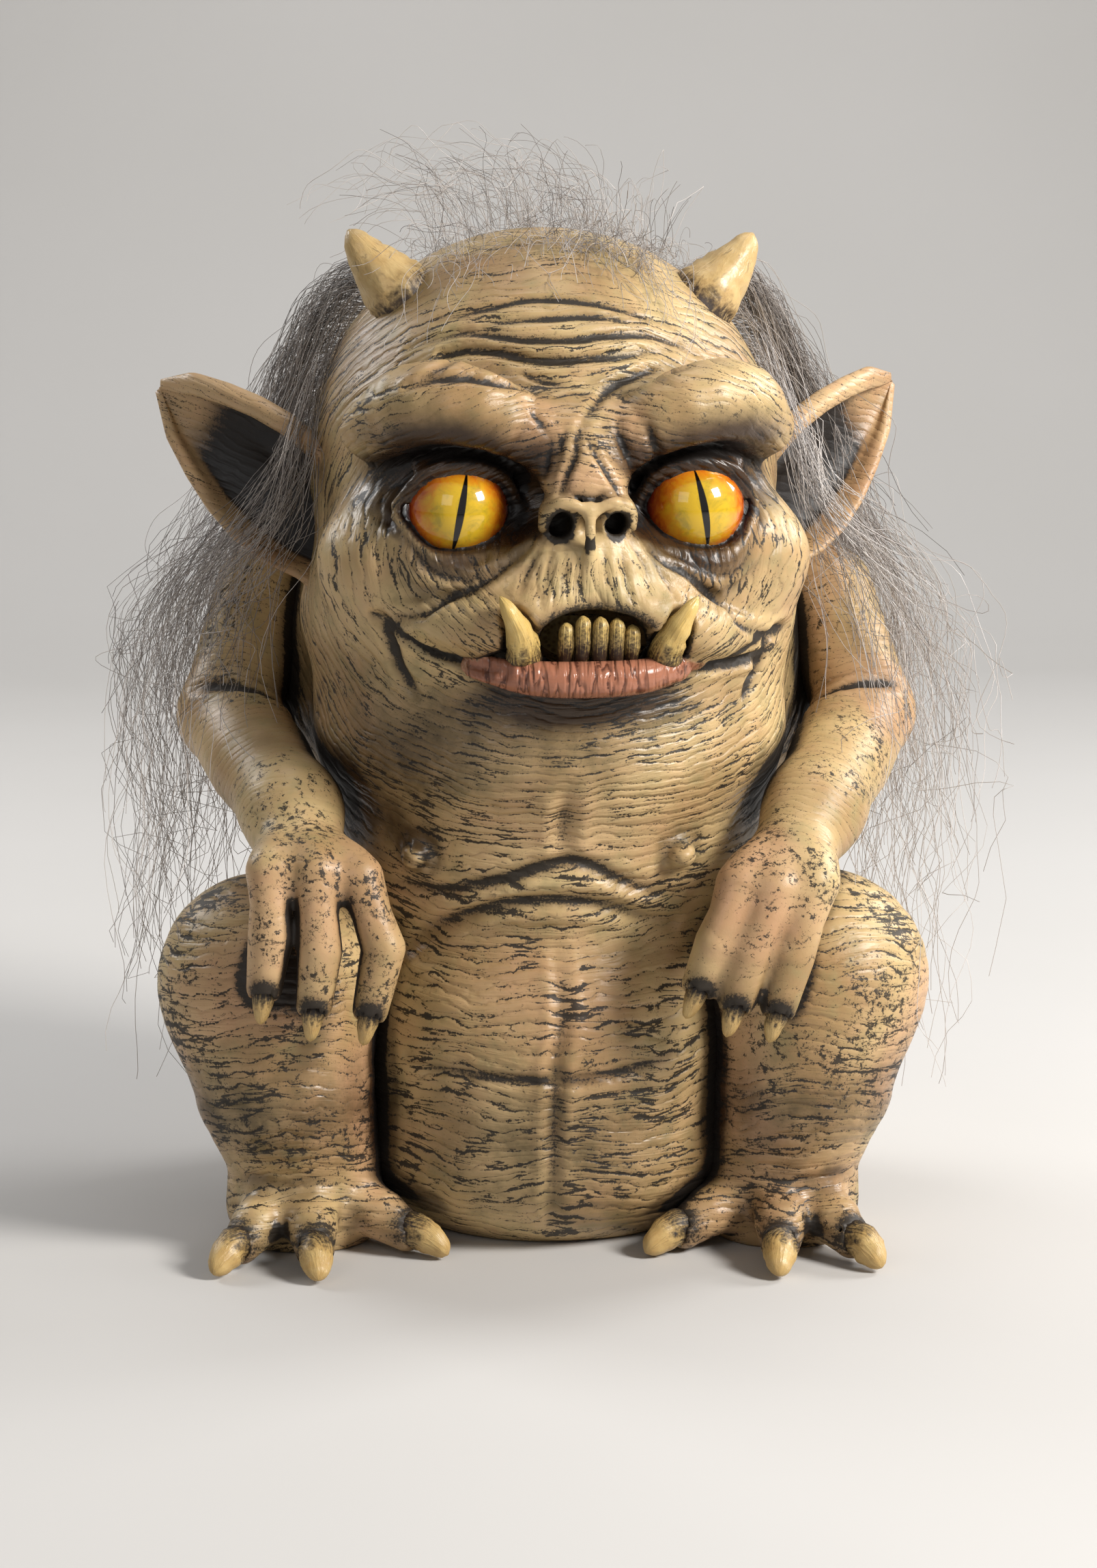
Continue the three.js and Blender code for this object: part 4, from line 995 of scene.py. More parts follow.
@dataclass(frozen=True)
class LegSizes:
    """The squatting legs, a little to the right of the middle."""

    shift: float = -3.0
    hip: Point = (60.0, 36.0, 46.0)
    knee: Point = (87.0, -44.0, 84.0)
    ankle: Point = (76.0, -42.0, 28.0)
    thigh_radius: float = 33.0
    knee_radius: float = 31.5
    ankle_radius: float = 24.5
    toe_reach: float = 37.0
    toe_width: float = 15.0
    toe_turns: tuple[float, float, float] = (30.0, -6.0, -58.0)

    def at(self, side: Side, place: Point) -> Array:
        """A place on one leg, in the body's space."""
        return np.array([self.shift + side.value * place[0], place[1], place[2]])

    def toe(self, side: Side, turn: float, reach: float, up: float) -> Array:
        """A point on the line of a toe, at a height."""
        angle = math.radians(turn)
        ankle = self.at(side, self.ankle)
        heading = np.array([side.value * math.sin(angle), -math.cos(angle), 0])
        return np.array([ankle[0], ankle[1], up]) + reach * heading

    def limb(self, side: Side) -> Limb:
        """The leg's clay: thigh, knee, shin, foot and toes."""
        hip, knee, ankle = (self.at(side, p) for p in (self.hip, self.knee, self.ankle))
        middle = 0.5 * (hip + knee) + [4 * side.value, 0, 4]
        calf = 0.45 * knee + 0.55 * ankle + [side.value, -5, 0]
        w = self.toe_width
        layers = [
            swell(Rope(((*hip, 30), (*middle, self.thigh_radius), (*knee, self.knee_radius))), 10),
            swell(Rope(((*knee, self.knee_radius), (*calf, 28.5), (*ankle, self.ankle_radius))), 12),
            swell(Ball((ankle[0], ankle[1] + 3, 10), (50, 50, 40)), 8),
        ]
        for turn in self.toe_turns:
            knots = ((8, 22, 9), (0.5 * self.toe_reach, 15, 9), (0.78 * self.toe_reach, 11.5, 8.2))
            line = [(*self.toe(side, turn, reach, up), radius) for reach, up, radius in knots]
            line.append((*self.toe(side, turn, self.toe_reach + 1, 0.5 * w), 0.42 * w))
            layers.append(swell(Rope(tuple(line)), 5))
        for turn in self.toe_turns:
            tip = self.toe(side, turn, self.toe_reach + 9, 0.5 * w)
            back = self.toe(side, turn, self.toe_reach + 2, 0.56 * w)
            layers.append(hollow(Rope(((*back, 4.4), (*tip, 5.2))), 1.5))
        layers.append(hollow(Disc(), 0.6))
        low, high = sorted((ankle[0] - side.value * 52, knee[0] + side.value * 40))
        deep = graded((-104, -20, 1.3), (-20, 66, 2.6))
        axes = [graded((low, high, 1.35)), deep, graded((-1, 120, 1.4))]
        sockets = [self.toe(side, turn, self.toe_reach + 2, 0.6 * w) for turn in self.toe_turns]
        spine = [hip, knee, ankle, np.array([*ankle[:2], 0])]
        return Limb(Clay(layers), axes, spine, sockets, run=7.2, coarse=1.5)


@dataclass(frozen=True)
class ArmSizes:
    """The arms, from hunched shoulders to hands laid on the knees."""

    legs: LegSizes
    shoulder: Point = (92.0, 40.0, 196.0)
    elbow: Point = (104.0, 12.0, 160.0)
    wrist: Point = (81.5, -48.0, 139.0)
    palm_from_knee: Point = (-13.0, -26.0, 42.0)
    finger_radius: float = 6.7

    FINGERS = {
        Side.LEFT: (
            ((-29, -40, 38), (-36, -44, 21), (-41, -43, 8)),
            ((-18, -42, 37), (-26, -46, 18), (-30, -45, 3)),
            ((-6, -40, 38), (-13, -45, 17), (-17, -44, 1)),
        ),
        Side.RIGHT: (
            ((-30, -40, 41), (-37, -44, 20), (-33, -43, 1)),
            ((-17, -42, 43), (-18, -46, 20), (-16, -45, 3)),
            ((-3, -40, 43), (-3, -44, 24), (-1, -43, 8)),
        ),
    }

    def finger(self, side: Side, number: int) -> list[Array]:
        """A finger's knuckle, middle joint and tip, from the inside out."""
        knee = self.legs.at(side, self.legs.knee)
        return [knee + [side.value * a, b, c] for a, b, c in self.FINGERS[side][number]]

    def limb(self, side: Side) -> Limb:
        """The arm's clay: upper arm, forearm, hand and fingers."""
        mirror = np.array([side.value, 1, 1])
        shoulder, elbow, wrist = (mirror * p for p in (self.shoulder, self.elbow, self.wrist))
        palm = self.legs.at(side, self.legs.knee) + mirror * self.palm_from_knee
        r = self.finger_radius
        knuckles = [self.finger(side, number)[0] for number in range(3)]
        layers = [
            swell(Rope(((*shoulder, 17.5), (*elbow, 15.5))), 8),
            swell(Rope(((*elbow, 15.5), (*(0.5 * (elbow + wrist)), 16.6), (*wrist, 14))), 5),
            swell(Rope(((*wrist, 14), (*palm, 12.5))), 10),
            swell(Rope(tuple((*(0.3 * palm + 0.7 * k), 8.5) for k in knuckles)), 9),
        ]
        for number in range(3):
            knuckle, middle, tip = self.finger(side, number)
            bent = 0.5 * (knuckle + middle) + [0, -1.2, 0]
            knots = [(*(0.6 * wrist + 0.4 * knuckle), 5), (*knuckle, r + 0.6), (*bent, r - 0.6)]
            knots += [(*middle, r + 0.1), (*tip, r - 1.2)]
            layers.append(swell(Rope(tuple(knots)), 4))
            heading = (tip - middle) / np.linalg.norm(tip - middle)
            nail = [(*(tip + 1.0 * heading + [0, -1.5, 0]), 3.2), (*(tip + 9 * heading + [0, -2, 0]), 3.8)]
            layers.append(hollow(Rope(tuple(nail)), 1.2))
        low, high = sorted((palm[0] - side.value * 34, elbow[0] + side.value * 24))
        deep = graded((-104, -30, 1.2), (-30, 62, 2.0))
        axes = [graded((low, high, 1.2)), deep, graded((74, 218, 1.25))]
        sockets = [self.finger(side, number)[2] + [0, -4, -1] for number in range(3)]
        clay = Clay(layers)
        fold = self.elbow_fold(clay, shoulder, elbow, wrist)
        return Limb(clay, axes, [shoulder, elbow, wrist, palm], sockets, run=5.0, level=0.3, folds=[fold])

    def elbow_fold(self, clay: Clay, shoulder: Array, elbow: Array, wrist: Array) -> Array:
        """The crease in the bend of the elbow, as points on the clay's surface."""
        inner = 0.5 * (shoulder + wrist) - elbow
        axis = np.cross(elbow - shoulder, wrist - elbow)
        turn = np.linspace(-1.4, 1.4, 25)[:, None]
        heading = np.cos(turn) * inner / np.linalg.norm(inner) + np.sin(turn) * axis / np.linalg.norm(axis)
        out = np.full((len(turn), 1), 16.0)
        for _ in range(20):
            out -= 0.7 * clay.distance((elbow + out * heading).astype(np.float32))[:, None]
        return elbow + out * heading


@dataclass(frozen=True)
class Tusk:
    """A tusk's points from root to tip, in the head's space, and its widths there."""

    line: tuple[Point, ...]
    widths: tuple[float, ...] = (9.5, 11.0, 9.4, 6.4, 2.6)

    def rope(self, margin: float = 0.0) -> Rope:
        """The tusk's own form, or a niche that is a margin larger."""
        return Rope(tuple((*point, 0.5 * width + margin) for point, width in zip(self.line, self.widths)))


TUSKS = {
    Side.RIGHT: Tusk(
        ((-18.4, -87, 185), (-18.8, -89.5, 192), (-20.6, -96, 200), (-24, -99, 207), (-27.3, -98.5, 212.4))
    ),
    Side.LEFT: Tusk(
        ((23, -86, 184), (23.3, -88.5, 191), (25, -95, 199), (28.8, -98, 206), (32.2, -97.5, 211.2))
    ),
}


@dataclass(frozen=True)
class Tint:
    """A soft spot of colour, used for airbrushed flesh and for painted shade, by its strength, its middle and
    its reach.
    """

    strength: float
    middle: Point
    reach: Point
    space: Space = Space.HEAD

    def over(self, spaces: dict[Space, Array]) -> Array:
        """How much of the colour lies on points, which are given in each space."""
        return self.strength * blob(spaces[self.space], self.middle, self.reach)


@dataclass
class Skin:
    """The body casting: torso, head and face in one, with its furrows."""

    plug_radius: float = 34.3
    plug_top: float = 6.3
    mouth: Ball = Ball((1.8, -97, 198.5), (35, 40, 17.5))

    FLEWS = {
        Side.RIGHT: (
            (-9, -92, 210, 6), (-20, -91, 205.5, 8), (-32, -84.5, 202, 9), (-44, -74.5, 202.2, 6.6),
            (-56, -62, 203.8, 1.6)),
        Side.LEFT: (
            (9, -92, 210, 6), (21, -91, 204.5, 8), (34, -84.5, 199.2, 9), (45, -74.5, 197, 6.8),
            (57, -62, 198, 1.6)),
    }
    NOSTRILS = {
        Side.RIGHT: (
            (-3.7, -101, 226.8, 2.2), (-6.2, -100, 230.4, 3.7), (-8.8, -97.5, 233, 4.1),
            (-8.4, -88, 232.4, 3.8)),
        Side.LEFT: (
            (3.2, -101, 228, 2.1), (5.8, -100, 231, 3.3), (8.7, -97.5, 233, 3.6), (7.8, -88, 232.6, 3.4)),
    }

    # Brown painted shade under the lower lip and the chin, low on the belly, and on the chest and cheek of
    # the figure's right side, away from the key lamp
    BROWN_TINTS = (
        Tint(0.7, (0, -88, 178), (44, 20, 7)),
        Tint(0.5, (-12, -78, 164), (62, 40, 18)),
        Tint(0.48, (0, -74, 36), (60, 40, 34), Space.BODY),
        Tint(0.45, (-50, -60, 150), (24, 50, 30), Space.BODY),
        Tint(0.3, (-60, -46, 206), (15, 24, 26)),
    )
    PINK_TINTS = (
        Tint(0.8, (0, -95, 246), (12, 12, 6)),
        Tint(0.55, (-46, -60, 112), (16, 25, 12), Space.BODY),
        Tint(0.6, (0, -78, 86), (26, 20, 16), Space.BODY),
        Tint(0.4, (0, -70, 136), (40, 30, 12), Space.BODY),
    )

    BROW_FURROWS = (
        Furrow(
            ((-39, 290), (-23, 294), (-14.5, 296), (-7, 296.5), (2, 296), (11, 294.5), (20, 292), (32, 288)),
            1.5, 0.9),
        Furrow(((-26, 289), (-15.5, 290.5), (-5.5, 291), (4.5, 291.5), (12.5, 291), (22, 289)), 1.5, 0.9),
        Furrow(
            ((-47, 282.5), (-39.5, 284.5), (-32, 286.5), (-23.5, 286), (-16, 285), (-6.5, 285), (1.5, 285),
             (10, 286), (20.5, 286), (29, 284.5), (44, 278)), 1.8, 1.3),
        Furrow(
            ((-52.5, 272.5), (-42, 278.5), (-32.5, 281.5), (-23, 281.5), (-14, 279.5), (-5, 279), (3, 279.5),
             (13.5, 280), (21.5, 281), (30.5, 281.5)), 2.0, 1.7),
        Furrow(((-51.5, 273.5), (-43.5, 275), (-35, 275.5), (-26, 274), (-18, 272), (-13.5, 270)), 1.9, 1.5),
        Furrow(
            ((31, 277.5), (24.5, 276), (17.5, 274), (11, 271.5), (6.5, 269), (2.5, 266), (-1, 262)),
            1.8, 1.5),
        Furrow(((-16, 275.5), (-11.5, 273.5), (-3.5, 272)), 1.5, 0.9),
        Furrow(((-8.5, 268.5), (-2.5, 269.5), (4, 269.5)), 1.3, 0.8),
    )
    FROWN_FURROWS = (
        Furrow(((-1, 262), (-2.5, 258.5), (-4, 253), (-7, 247), (-8.5, 241.5)), 1.5, 1.2),
        Furrow(((-0.5, 258.5), (2, 253.5), (6, 247), (10.5, 239)), 1.4, 1.2),
        Furrow(((10.5, 264.5), (10, 258), (14, 249.5), (17, 242)), 1.6, 1.3),
        Furrow(((18.5, 261.5), (20.5, 255.5), (23.5, 248)), 1.5, 1.1),
        Furrow(((-16, 265.5), (-12, 260)), 1.3, 0.8),
        Furrow(((-6, 259.5), (-9, 252.5)), 1.3, 0.9),
        Furrow(((-9.5, 258), (-11, 253), (-12.5, 247)), 1.3, 0.9),
    )
    CHEEK_FURROWS = (
        Furrow(
            ((-60.5, 233.5), (-55.5, 230), (-51, 224.5), (-46, 218.5), (-39.5, 216), (-32, 216.5),
             (-27, 219.5), (-24, 223.5)), 1.8, 1.2, 0.7),
        Furrow(((20.5, 224.5), (30, 221), (36.5, 217), (43.5, 215.5), (49.5, 218), (53, 223)), 1.8, 1.2, 0.7),
        Furrow(
            ((-60, 201), (-54.5, 203), (-48, 205.2), (-43.7, 208.4), (-39.5, 211), (-33, 214), (-24.5, 220),
             (-17.5, 225.5)), 2.0, 2.0, 0.85),
        Furrow(
            ((62, 193.5), (58.8, 194.6), (50.7, 199), (44.4, 204), (39, 209.4), (34, 214.2), (29.8, 217.6),
             (24, 220.5), (19, 224.5), (17, 228)), 2.0, 2.0, 1.0),
        Furrow(
            ((-59, 204), (-57.5, 199), (-55.7, 193.2), (-54.2, 188), (-52, 183.8), (-49, 179)),
            2.4, 2.4, 1.3),
        Furrow(((68, 195), (62, 194.5), (59.5, 190), (58, 185.5), (56.5, 181), (54, 175.5)), 2.8, 2.6, 1.7),
        Furrow(
            ((-61.5, 203), (-55, 199.2), (-50, 196.2), (-44, 192.8), (-38, 190.8), (-31, 189.6),
             (-25, 189.5)), 1.9, 2.8, 2.0),
        Furrow(
            ((65, 196), (60, 190.5), (56, 188), (50, 186.9), (44, 186.8), (38, 187), (31, 187.8)),
            1.9, 2.8, 2.0),
    )
    MUZZLE_FURROWS = (
        Furrow(((-13.5, 227), (-17.5, 220), (-21, 211.5)), 1.1, 0.7, 0.72),
        Furrow(((-11, 226.5), (-12.5, 218), (-15, 207.5)), 1.1, 0.7, 0.6),
        Furrow(((-7, 225.5), (-8, 216.5), (-9, 212)), 1.1, 0.6, 0.7),
        Furrow(((-3.5, 222), (-4, 210.5)), 1.0, 0.6, 0.6),
        Furrow(((4.5, 226.5), (5, 218), (5, 213.5)), 1.1, 0.6, 0.5),
        Furrow(((9, 226), (11, 219.5), (11.5, 208.5)), 1.1, 0.7, 0.6),
        Furrow(((12.5, 227), (16.5, 220.5), (18.5, 214)), 1.1, 0.7, 0.65),
        Furrow(((15.5, 226), (21.5, 218.5), (26.5, 209.5)), 1.1, 0.7, 0.65),
    )
    TORSO_FURROWS = (
        Furrow(
            ((-53.5, 116), (-45, 117), (-33.5, 116.5), (-24.5, 119), (-14.5, 121.5), (-5.5, 125), (5, 127),
             (11.5, 125), (19, 121), (27.5, 117), (36.5, 113.5)), 2.6, 2.0),
        Furrow(
            ((-47.5, 92.5), (-43, 98), (-36.5, 103.5), (-26, 109), (-14.5, 113), (-3, 114), (7.5, 113.5),
             (18, 111), (26.5, 107.5), (36.5, 104.5)), 3.0, 2.4, 0.8),
        Furrow(((3, 150.5), (2.5, 142.5), (2, 135.5), (3, 128.5)), 3.4, 1.6, 0.5),
        Furrow(
            ((0.5, 98), (1, 89), (1.5, 82), (1, 72.5), (-0.5, 64.5), (-0.5, 55.5), (-1, 46.5), (-1, 35),
             (-1.5, 22.5), (-1.5, 8)), 2.6, 1.7, 0.58),
        Furrow(
            ((-46, 63), (-40, 61), (-24.5, 60), (-9.5, 59.5), (-0.5, 59.5), (11.5, 60), (24, 62), (36, 64.5),
             (44, 66)), 2.0, 1.7),
    )

    def torso(self) -> list[Layer]:
        """Back, rump, belly, chest and chin pouch."""
        return [
            swell(Ball((0, 40, 148), (184, 104, 155)), 20),
            swell(Ball((0, 28, 48), (166, 124, 112)), 24),
            swell(Ball((0, -8, 60), (134, 138, 144)), 12),
            swell(Ball((0, -6, 26), (137, 131, 64)), 12),
            swell(Ball((0, -4, 122), (142, 134, 88)), 8),
            swell(Ball((0, -8, 160), (152, 152, 92)), 16),
            swell(Ball((66, 44, 184), (44, 56, 66)), 18),
            swell(Ball((-66, 44, 184), (44, 56, 66)), 18),
            swell(Ball((-43.5, -61, 127), (9, 12, 8)), 4),
            swell(Ball((39, -64, 127.5), (9, 12, 8)), 4),
        ]

    def face(self) -> list[Layer]:
        """Jaw, skull, brow, eyes, nose, muzzle and mouth, in the head's space."""
        head = Space.HEAD
        layers = [
            swell(Ball((0, -6, 196), (158, 160, 92)), 14, head),
            swell(Ball((0, 6, 244), (150, 158, 146)), 16, head),
            swell(Ball((0, -70, 256), (31, 28, 26)), 8, head),
            swell(Ball((0, -68, 211), (88, 56, 40)), 10, head),
            swell(Rope(((0, -78, 257, 9), (0, -87, 248, 7.5))), 6, head),
            swell(Ball((0, -86.5, 243.5), (25, 20, 15)), 5, head),
            swell(Ball((0, -85, 222.5), (36, 22, 20)), 8, head),
        ]
        for side in Side:
            layers += self.face_side(side)
        bridge = ((-0.3, -97.5, 238, 1.9), (-0.4, -98.8, 231, 1.5), (-0.2, -97, 223, 1.8), (0, -95, 213, 1))
        layers += [
            swell(Rope(bridge), 1.8, head),
            hollow(self.mouth, 2, head),
            hollow(Ball((1.8, -78, 198), (40, 26, 20)), 3, head),
        ]
        layers += [hollow(TUSKS[side].rope(0.7), 1.5, head) for side in Side]
        layers.append(swell(self.lower_lip(), 2.5, head))
        return layers

    def lower_lip(self) -> Rope:
        """The lower lip, from corner to corner."""
        half = ((34, -82.5, 189.6, 2.4), (24, -89, 187.8, 4.6), (11, -94, 186.6, 5.4))
        line = [(-x, y, z, r) for x, y, z, r in half] + [*reversed(half)]
        return Rope.bent(tuple(line), 3.0)

    def face_side(self, side: Side) -> list[Layer]:
        """Brow, cheek, eye socket, lids, nose wing, nostril and hanging lip of one side."""
        head, s = Space.HEAD, side.value
        x, y, z = EYE

        def arc(*knots: Knot) -> Rope:
            """A rope round the eye, by knots measured from its middle."""
            return Rope.bent(tuple((s * (x + a), y + b, z + c, r) for a, b, c, r in knots))

        upper_lid = arc(
            (-18.5, -2.5, 0.5, 1.8), (-13, -7.5, 10, 1.9), (-1, -9.5, 14.3, 2), (11, -8, 11.5, 1.9),
            (18.5, -1.5, 1.5, 1.8))
        lower_lid = arc(
            (-18.5, -3, -1, 1.8), (-11.5, -10, -10.8, 2), (0, -12.2, -13.8, 2.2), (11.5, -10, -11.6, 2),
            (18.5, -2.5, -2, 1.8))
        brow = (
            (13, -77, 255, 7), (25, -78.5, 262.5, 11.5), (38, -76, 266.5, 13), (50, -67.5, 265.5, 13),
            (61, -53, 258, 9))
        rim = (
            (1.4, -97.6, 236.8, 1.5), (5, -98, 239, 1.7), (9.4, -96.8, 239, 1.8), (12.6, -94, 235.6, 1.8),
            (13.2, -90.5, 231.4, 1.6))
        return [
            swell(Rope.bent(tuple((s * a, b, c, r) for a, b, c, r in brow), 5.0), 13, head),
            swell(Ball((s * 52, -46, 218), (48, 48, 38)), 18, head),
            hollow(Ball((s * (x + 1), y - 9, z + 5), (44, 24, 30)), 5, head),
            swell(Ball((s * x, y, z), (30, 30, 30)), 3, head),
            swell(arc((-14, -4, 12, 2.6), (-1, -5, 16.5, 3), (12, -4, 13.5, 2.6)), 3, head),
            swell(upper_lid, 2.5, head),
            swell(lower_lid, 2.5, head),
            swell(arc((-14, -8, -12, 3), (-2, -11, -18.5, 4.2), (10, -9, -17.5, 4), (19, 0, -9, 3)), 5, head),
            swell(Ball((s * 8.2, -90.5, 235.5), (13, 15, 13)), 3, head),
            hollow(Rope(self.NOSTRILS[side]), 1, head),
            swell(Rope.bent(tuple((s * a, b, c, r) for a, b, c, r in rim), 2.0), 1.5, head),
            swell(Rope.bent(self.FLEWS[side], 4.0), 4, head),
        ]

    def clay(self) -> Clay:
        """The whole casting, flat at the floor and with the plug's seat cut out."""
        floor = [hollow(Disc(), 0.6), hollow(Disc(self.plug_radius, self.plug_top), 0.4)]
        return Clay(self.torso() + self.face() + floor)

    def axes(self) -> list[Array]:
        """Grid lines that are closest together on the face."""
        half = graded((0, 62, 1.4), (62, 98, 2.6))
        across = np.concatenate([-half[:0:-1], half])
        deep = graded((-110, -22, 1.35), (-22, 20, 2.6), (20, 104, 4.0))
        return [across, deep, graded((-2, 150, 2.0), (150, 300, 1.35), (300, 324, 2.4))]

    def rings(self, at: Array) -> Array:
        """Lengths across the wrinkles, which run round the face and level across the belly."""
        local = HEAD.local(at.astype(np.float32))
        out, far = 0.66 * local[:, 0], local[:, 2] - 222
        deep = 0.8 * np.maximum(local[:, 1] + 60, 0)
        round_face = np.sqrt(out**2 + far**2 + deep**2)
        round_face = np.minimum(round_face, 90 + 0.7 * (round_face - 90)) + 6 * lattice(at * 0.035, 3)
        fan = 24 * np.arctan2(local[:, 0], 252 - local[:, 2])
        return np.where(self.muzzle(local) > 0.42, fan, round_face)

    def muzzle(self, local: Array) -> Array:
        """How much points, in the head's space, belong to the muzzle, whose wrinkles fan out."""
        return blob(local, (0, -88, 213), (27, 22, 15))

    def paint(self, at: Array) -> Paint:
        """The paint that follows the face's features, before the furrows are inked."""
        paint = Paint.bare(len(at))
        local = HEAD.local(at.astype(np.float32))
        paint.ring = self.rings(at)
        smoothed = sum(blob(local, (s * 38, -78, 264), (22, 20, 11)) for s in (1, -1))
        smoothed = smoothed + blob(local, (0, -95, 238), (16, 14, 12))
        smoothed = smoothed + 0.6 * sum(blob(local, (s * 44, -74, 200), (15, 18, 9)) for s in (1, -1))
        smoothed = smoothed + np.exp(-(((self.muzzle(local) - 0.42) / 0.12) ** 2))
        paint.line = np.clip(0.95 - 1.1 * smoothed, 0, 1) * (1 - 0.5 * smooth(local[:, 2], 272, 300))
        self.shade_eyes(paint, local)
        spaces = {Space.HEAD: local, Space.BODY: at}
        # Brown painted shade, then airbrushed flesh
        paint.brown += sum(tint.over(spaces) for tint in self.BROWN_TINTS)
        paint.pink += sum(tint.over(spaces) for tint in self.PINK_TINTS)
        self.ink_mouth(paint, local)
        paint.speck = 0.5 + 0.4 * sum(blob(local, (s * 38, -74, 266), (26, 25, 12)) for s in (1, -1))
        paint.speck *= 1 - paint.lip
        paint.line *= 1 - paint.lip
        return paint

    def shade_eyes(self, paint: Paint, local: Array) -> None:
        """Brown airbrushing and brown painted shade round the eyes and in the bags under them, black painted
        shadow under the brow and in the inner corners, and flesh beside it.
        """
        x, y, z = EYE
        for s in (1, -1):
            # Brown round the eye, with brown painted shade under the brow, in the bag and beside the nose
            paint.brown += 0.9 * blob(local, (s * (x + 1), y - 8, z), (21, 22, 15.5))
            paint.brown += 1.1 * blob(local, (s * (x + 4), y - 10, z + 19), (26, 22, 13))
            paint.brown += 0.5 * blob(local, (s * x, y - 14, z - 16), (17, 14, 5))
            paint.brown += 0.6 * blob(local, (s * 20, -84, 233), (7, 12, 10))
            # Black painted shadow under the brow's overhang and in the eye's inner corner
            paint.darken(0.8 * blob(local, (s * (x - 1), y - 8, z + 18), (21, 14, 6)))
            paint.darken(0.8 * blob(local, (s * (x - 18), y - 8, z - 1), (5, 9, 9)))
            paint.pink += 0.9 * blob(local, (s * 14, -82, 257), (9, 15, 9))
            paint.pink += 0.5 * blob(local, (s * 62, -40, 214), (14, 24, 14))

    def ink_mouth(self, paint: Paint, local: Array) -> None:
        """The wet lip, and black in the mouth, round the tusks, in the nostrils and under the flews: dark
        paint and painted shade.
        """
        front = smooth(-local[:, 1], 20, 50)
        # Black painted shade in the niches round the tusks' roots
        for side in Side:
            niche = TUSKS[side].rope().distance(local)
            paint.darken(0.9 * smooth(-niche, -2.6, -0.8) * smooth(-local[:, 2], -206, -196))
        wet = smooth(-self.lower_lip().distance(local), -1.3, -0.2)
        paint.lip = wet * front * smooth(-np.abs(local[:, 0]), -40, -34)
        paint.ink *= 1 - 0.8 * paint.lip * smooth(-local[:, 1], 88, 93)
        # Black in the mouth: dark paint and painted shade
        throat = blob(local, (1.8, -84, 199), (19, 15, 9)) * smooth(local[:, 1], -96, -88)
        stippled = 0.62 * smooth(-self.mouth.distance(local), -6, -0.5) * smooth(local[:, 2], 198, 203)
        paint.darken(np.maximum(stippled, 1.6 * throat * (1 - paint.lip)))
        for side in Side:
            # Black in the nostrils: dark paint and painted shade
            nostril = Rope(self.NOSTRILS[side]).distance(local)
            margin = 0.9 + 1.5 * smooth(-local[:, 2], -231.5, -227)
            paint.darken(1.2 * smooth(margin - nostril, 0, 0.8))
            # Black painted shadow under the hanging upper lip
            pad = Rope.bent(self.FLEWS[side], 4.0)
            knots = np.array(pad.knots)
            away = side.value * local[:, 0]
            below = np.interp(away, side.value * knots[:, 0], knots[:, 2] - 0.6 * knots[:, 3]) - local[:, 2]
            gap = pad.distance(local)
            slit = smooth(gap, 0.1, 0.7) * smooth(-gap, -3.4, -1.6)
            slit *= smooth(below, 0, 2) * smooth(away, 24, 32)
            paint.darken(1.3 * slit * front * (1 - paint.lip))

    def build(self, finish: Material, limbs: list[Limb]) -> None:
        """Sculpts, carves, paints and places the casting.

        Args:
            finish: The latex.
            limbs: The limbs, whose creases against the body get dark wash and painted shade.
        """
        clay = self.clay()
        at, normal, quads = sculpt(clay, self.axes())
        paint = self.paint(at)
        closed = hollowness([clay] + [limb.clay for limb in limbs], at, normal)
        kept_clean = np.maximum(paint.lip, 0.9 * blob(HEAD.local(at), (0, -94, 228), (17, 14, 9)))
        # Dark wash and painted shade where a limb lies against the body
        touch = np.minimum.reduce([limb.clay.distance(at) for limb in limbs])
        paint.darken(0.9 * seam_wash(at) * smooth(-touch, -6, -1.5))
        # Dark wash and black painted shade deep in the creases, and brown painted shade round them, by how
        # closed in each vertex is
        paint.darken(smooth(closed, 0.42, 0.95) * (1 - kept_clean))
        paint.brown += 0.4 * smooth(closed, 0.1, 0.5) * (1 - kept_clean)
        carved = at.astype(float)
        wrinkle(carved, normal, paint, 0.9 * paint.line * (1 - paint.lip), 11)
        on_face = self.BROW_FURROWS + self.FROWN_FURROWS + self.CHEEK_FURROWS + self.MUZZLE_FURROWS
        for furrows, space in ((on_face, Space.HEAD), (self.TORSO_FURROWS, Space.BODY)):
            for furrow in furrows:
                flat = through(np.array(furrow.points, float))
                line = clay.front(flat[:, 0], flat[:, 1], space)
                carve(carved, normal, line, furrow, paint)
        paint.ink *= 1 - 0.8 * paint.lip
        carved[:, 2] = np.maximum(carved[:, 2], 0)
        made = piece("body_skin_latex", carved, quads)
        paint.onto(made.data)
        dress(made, finish, "skin", "body_skin")


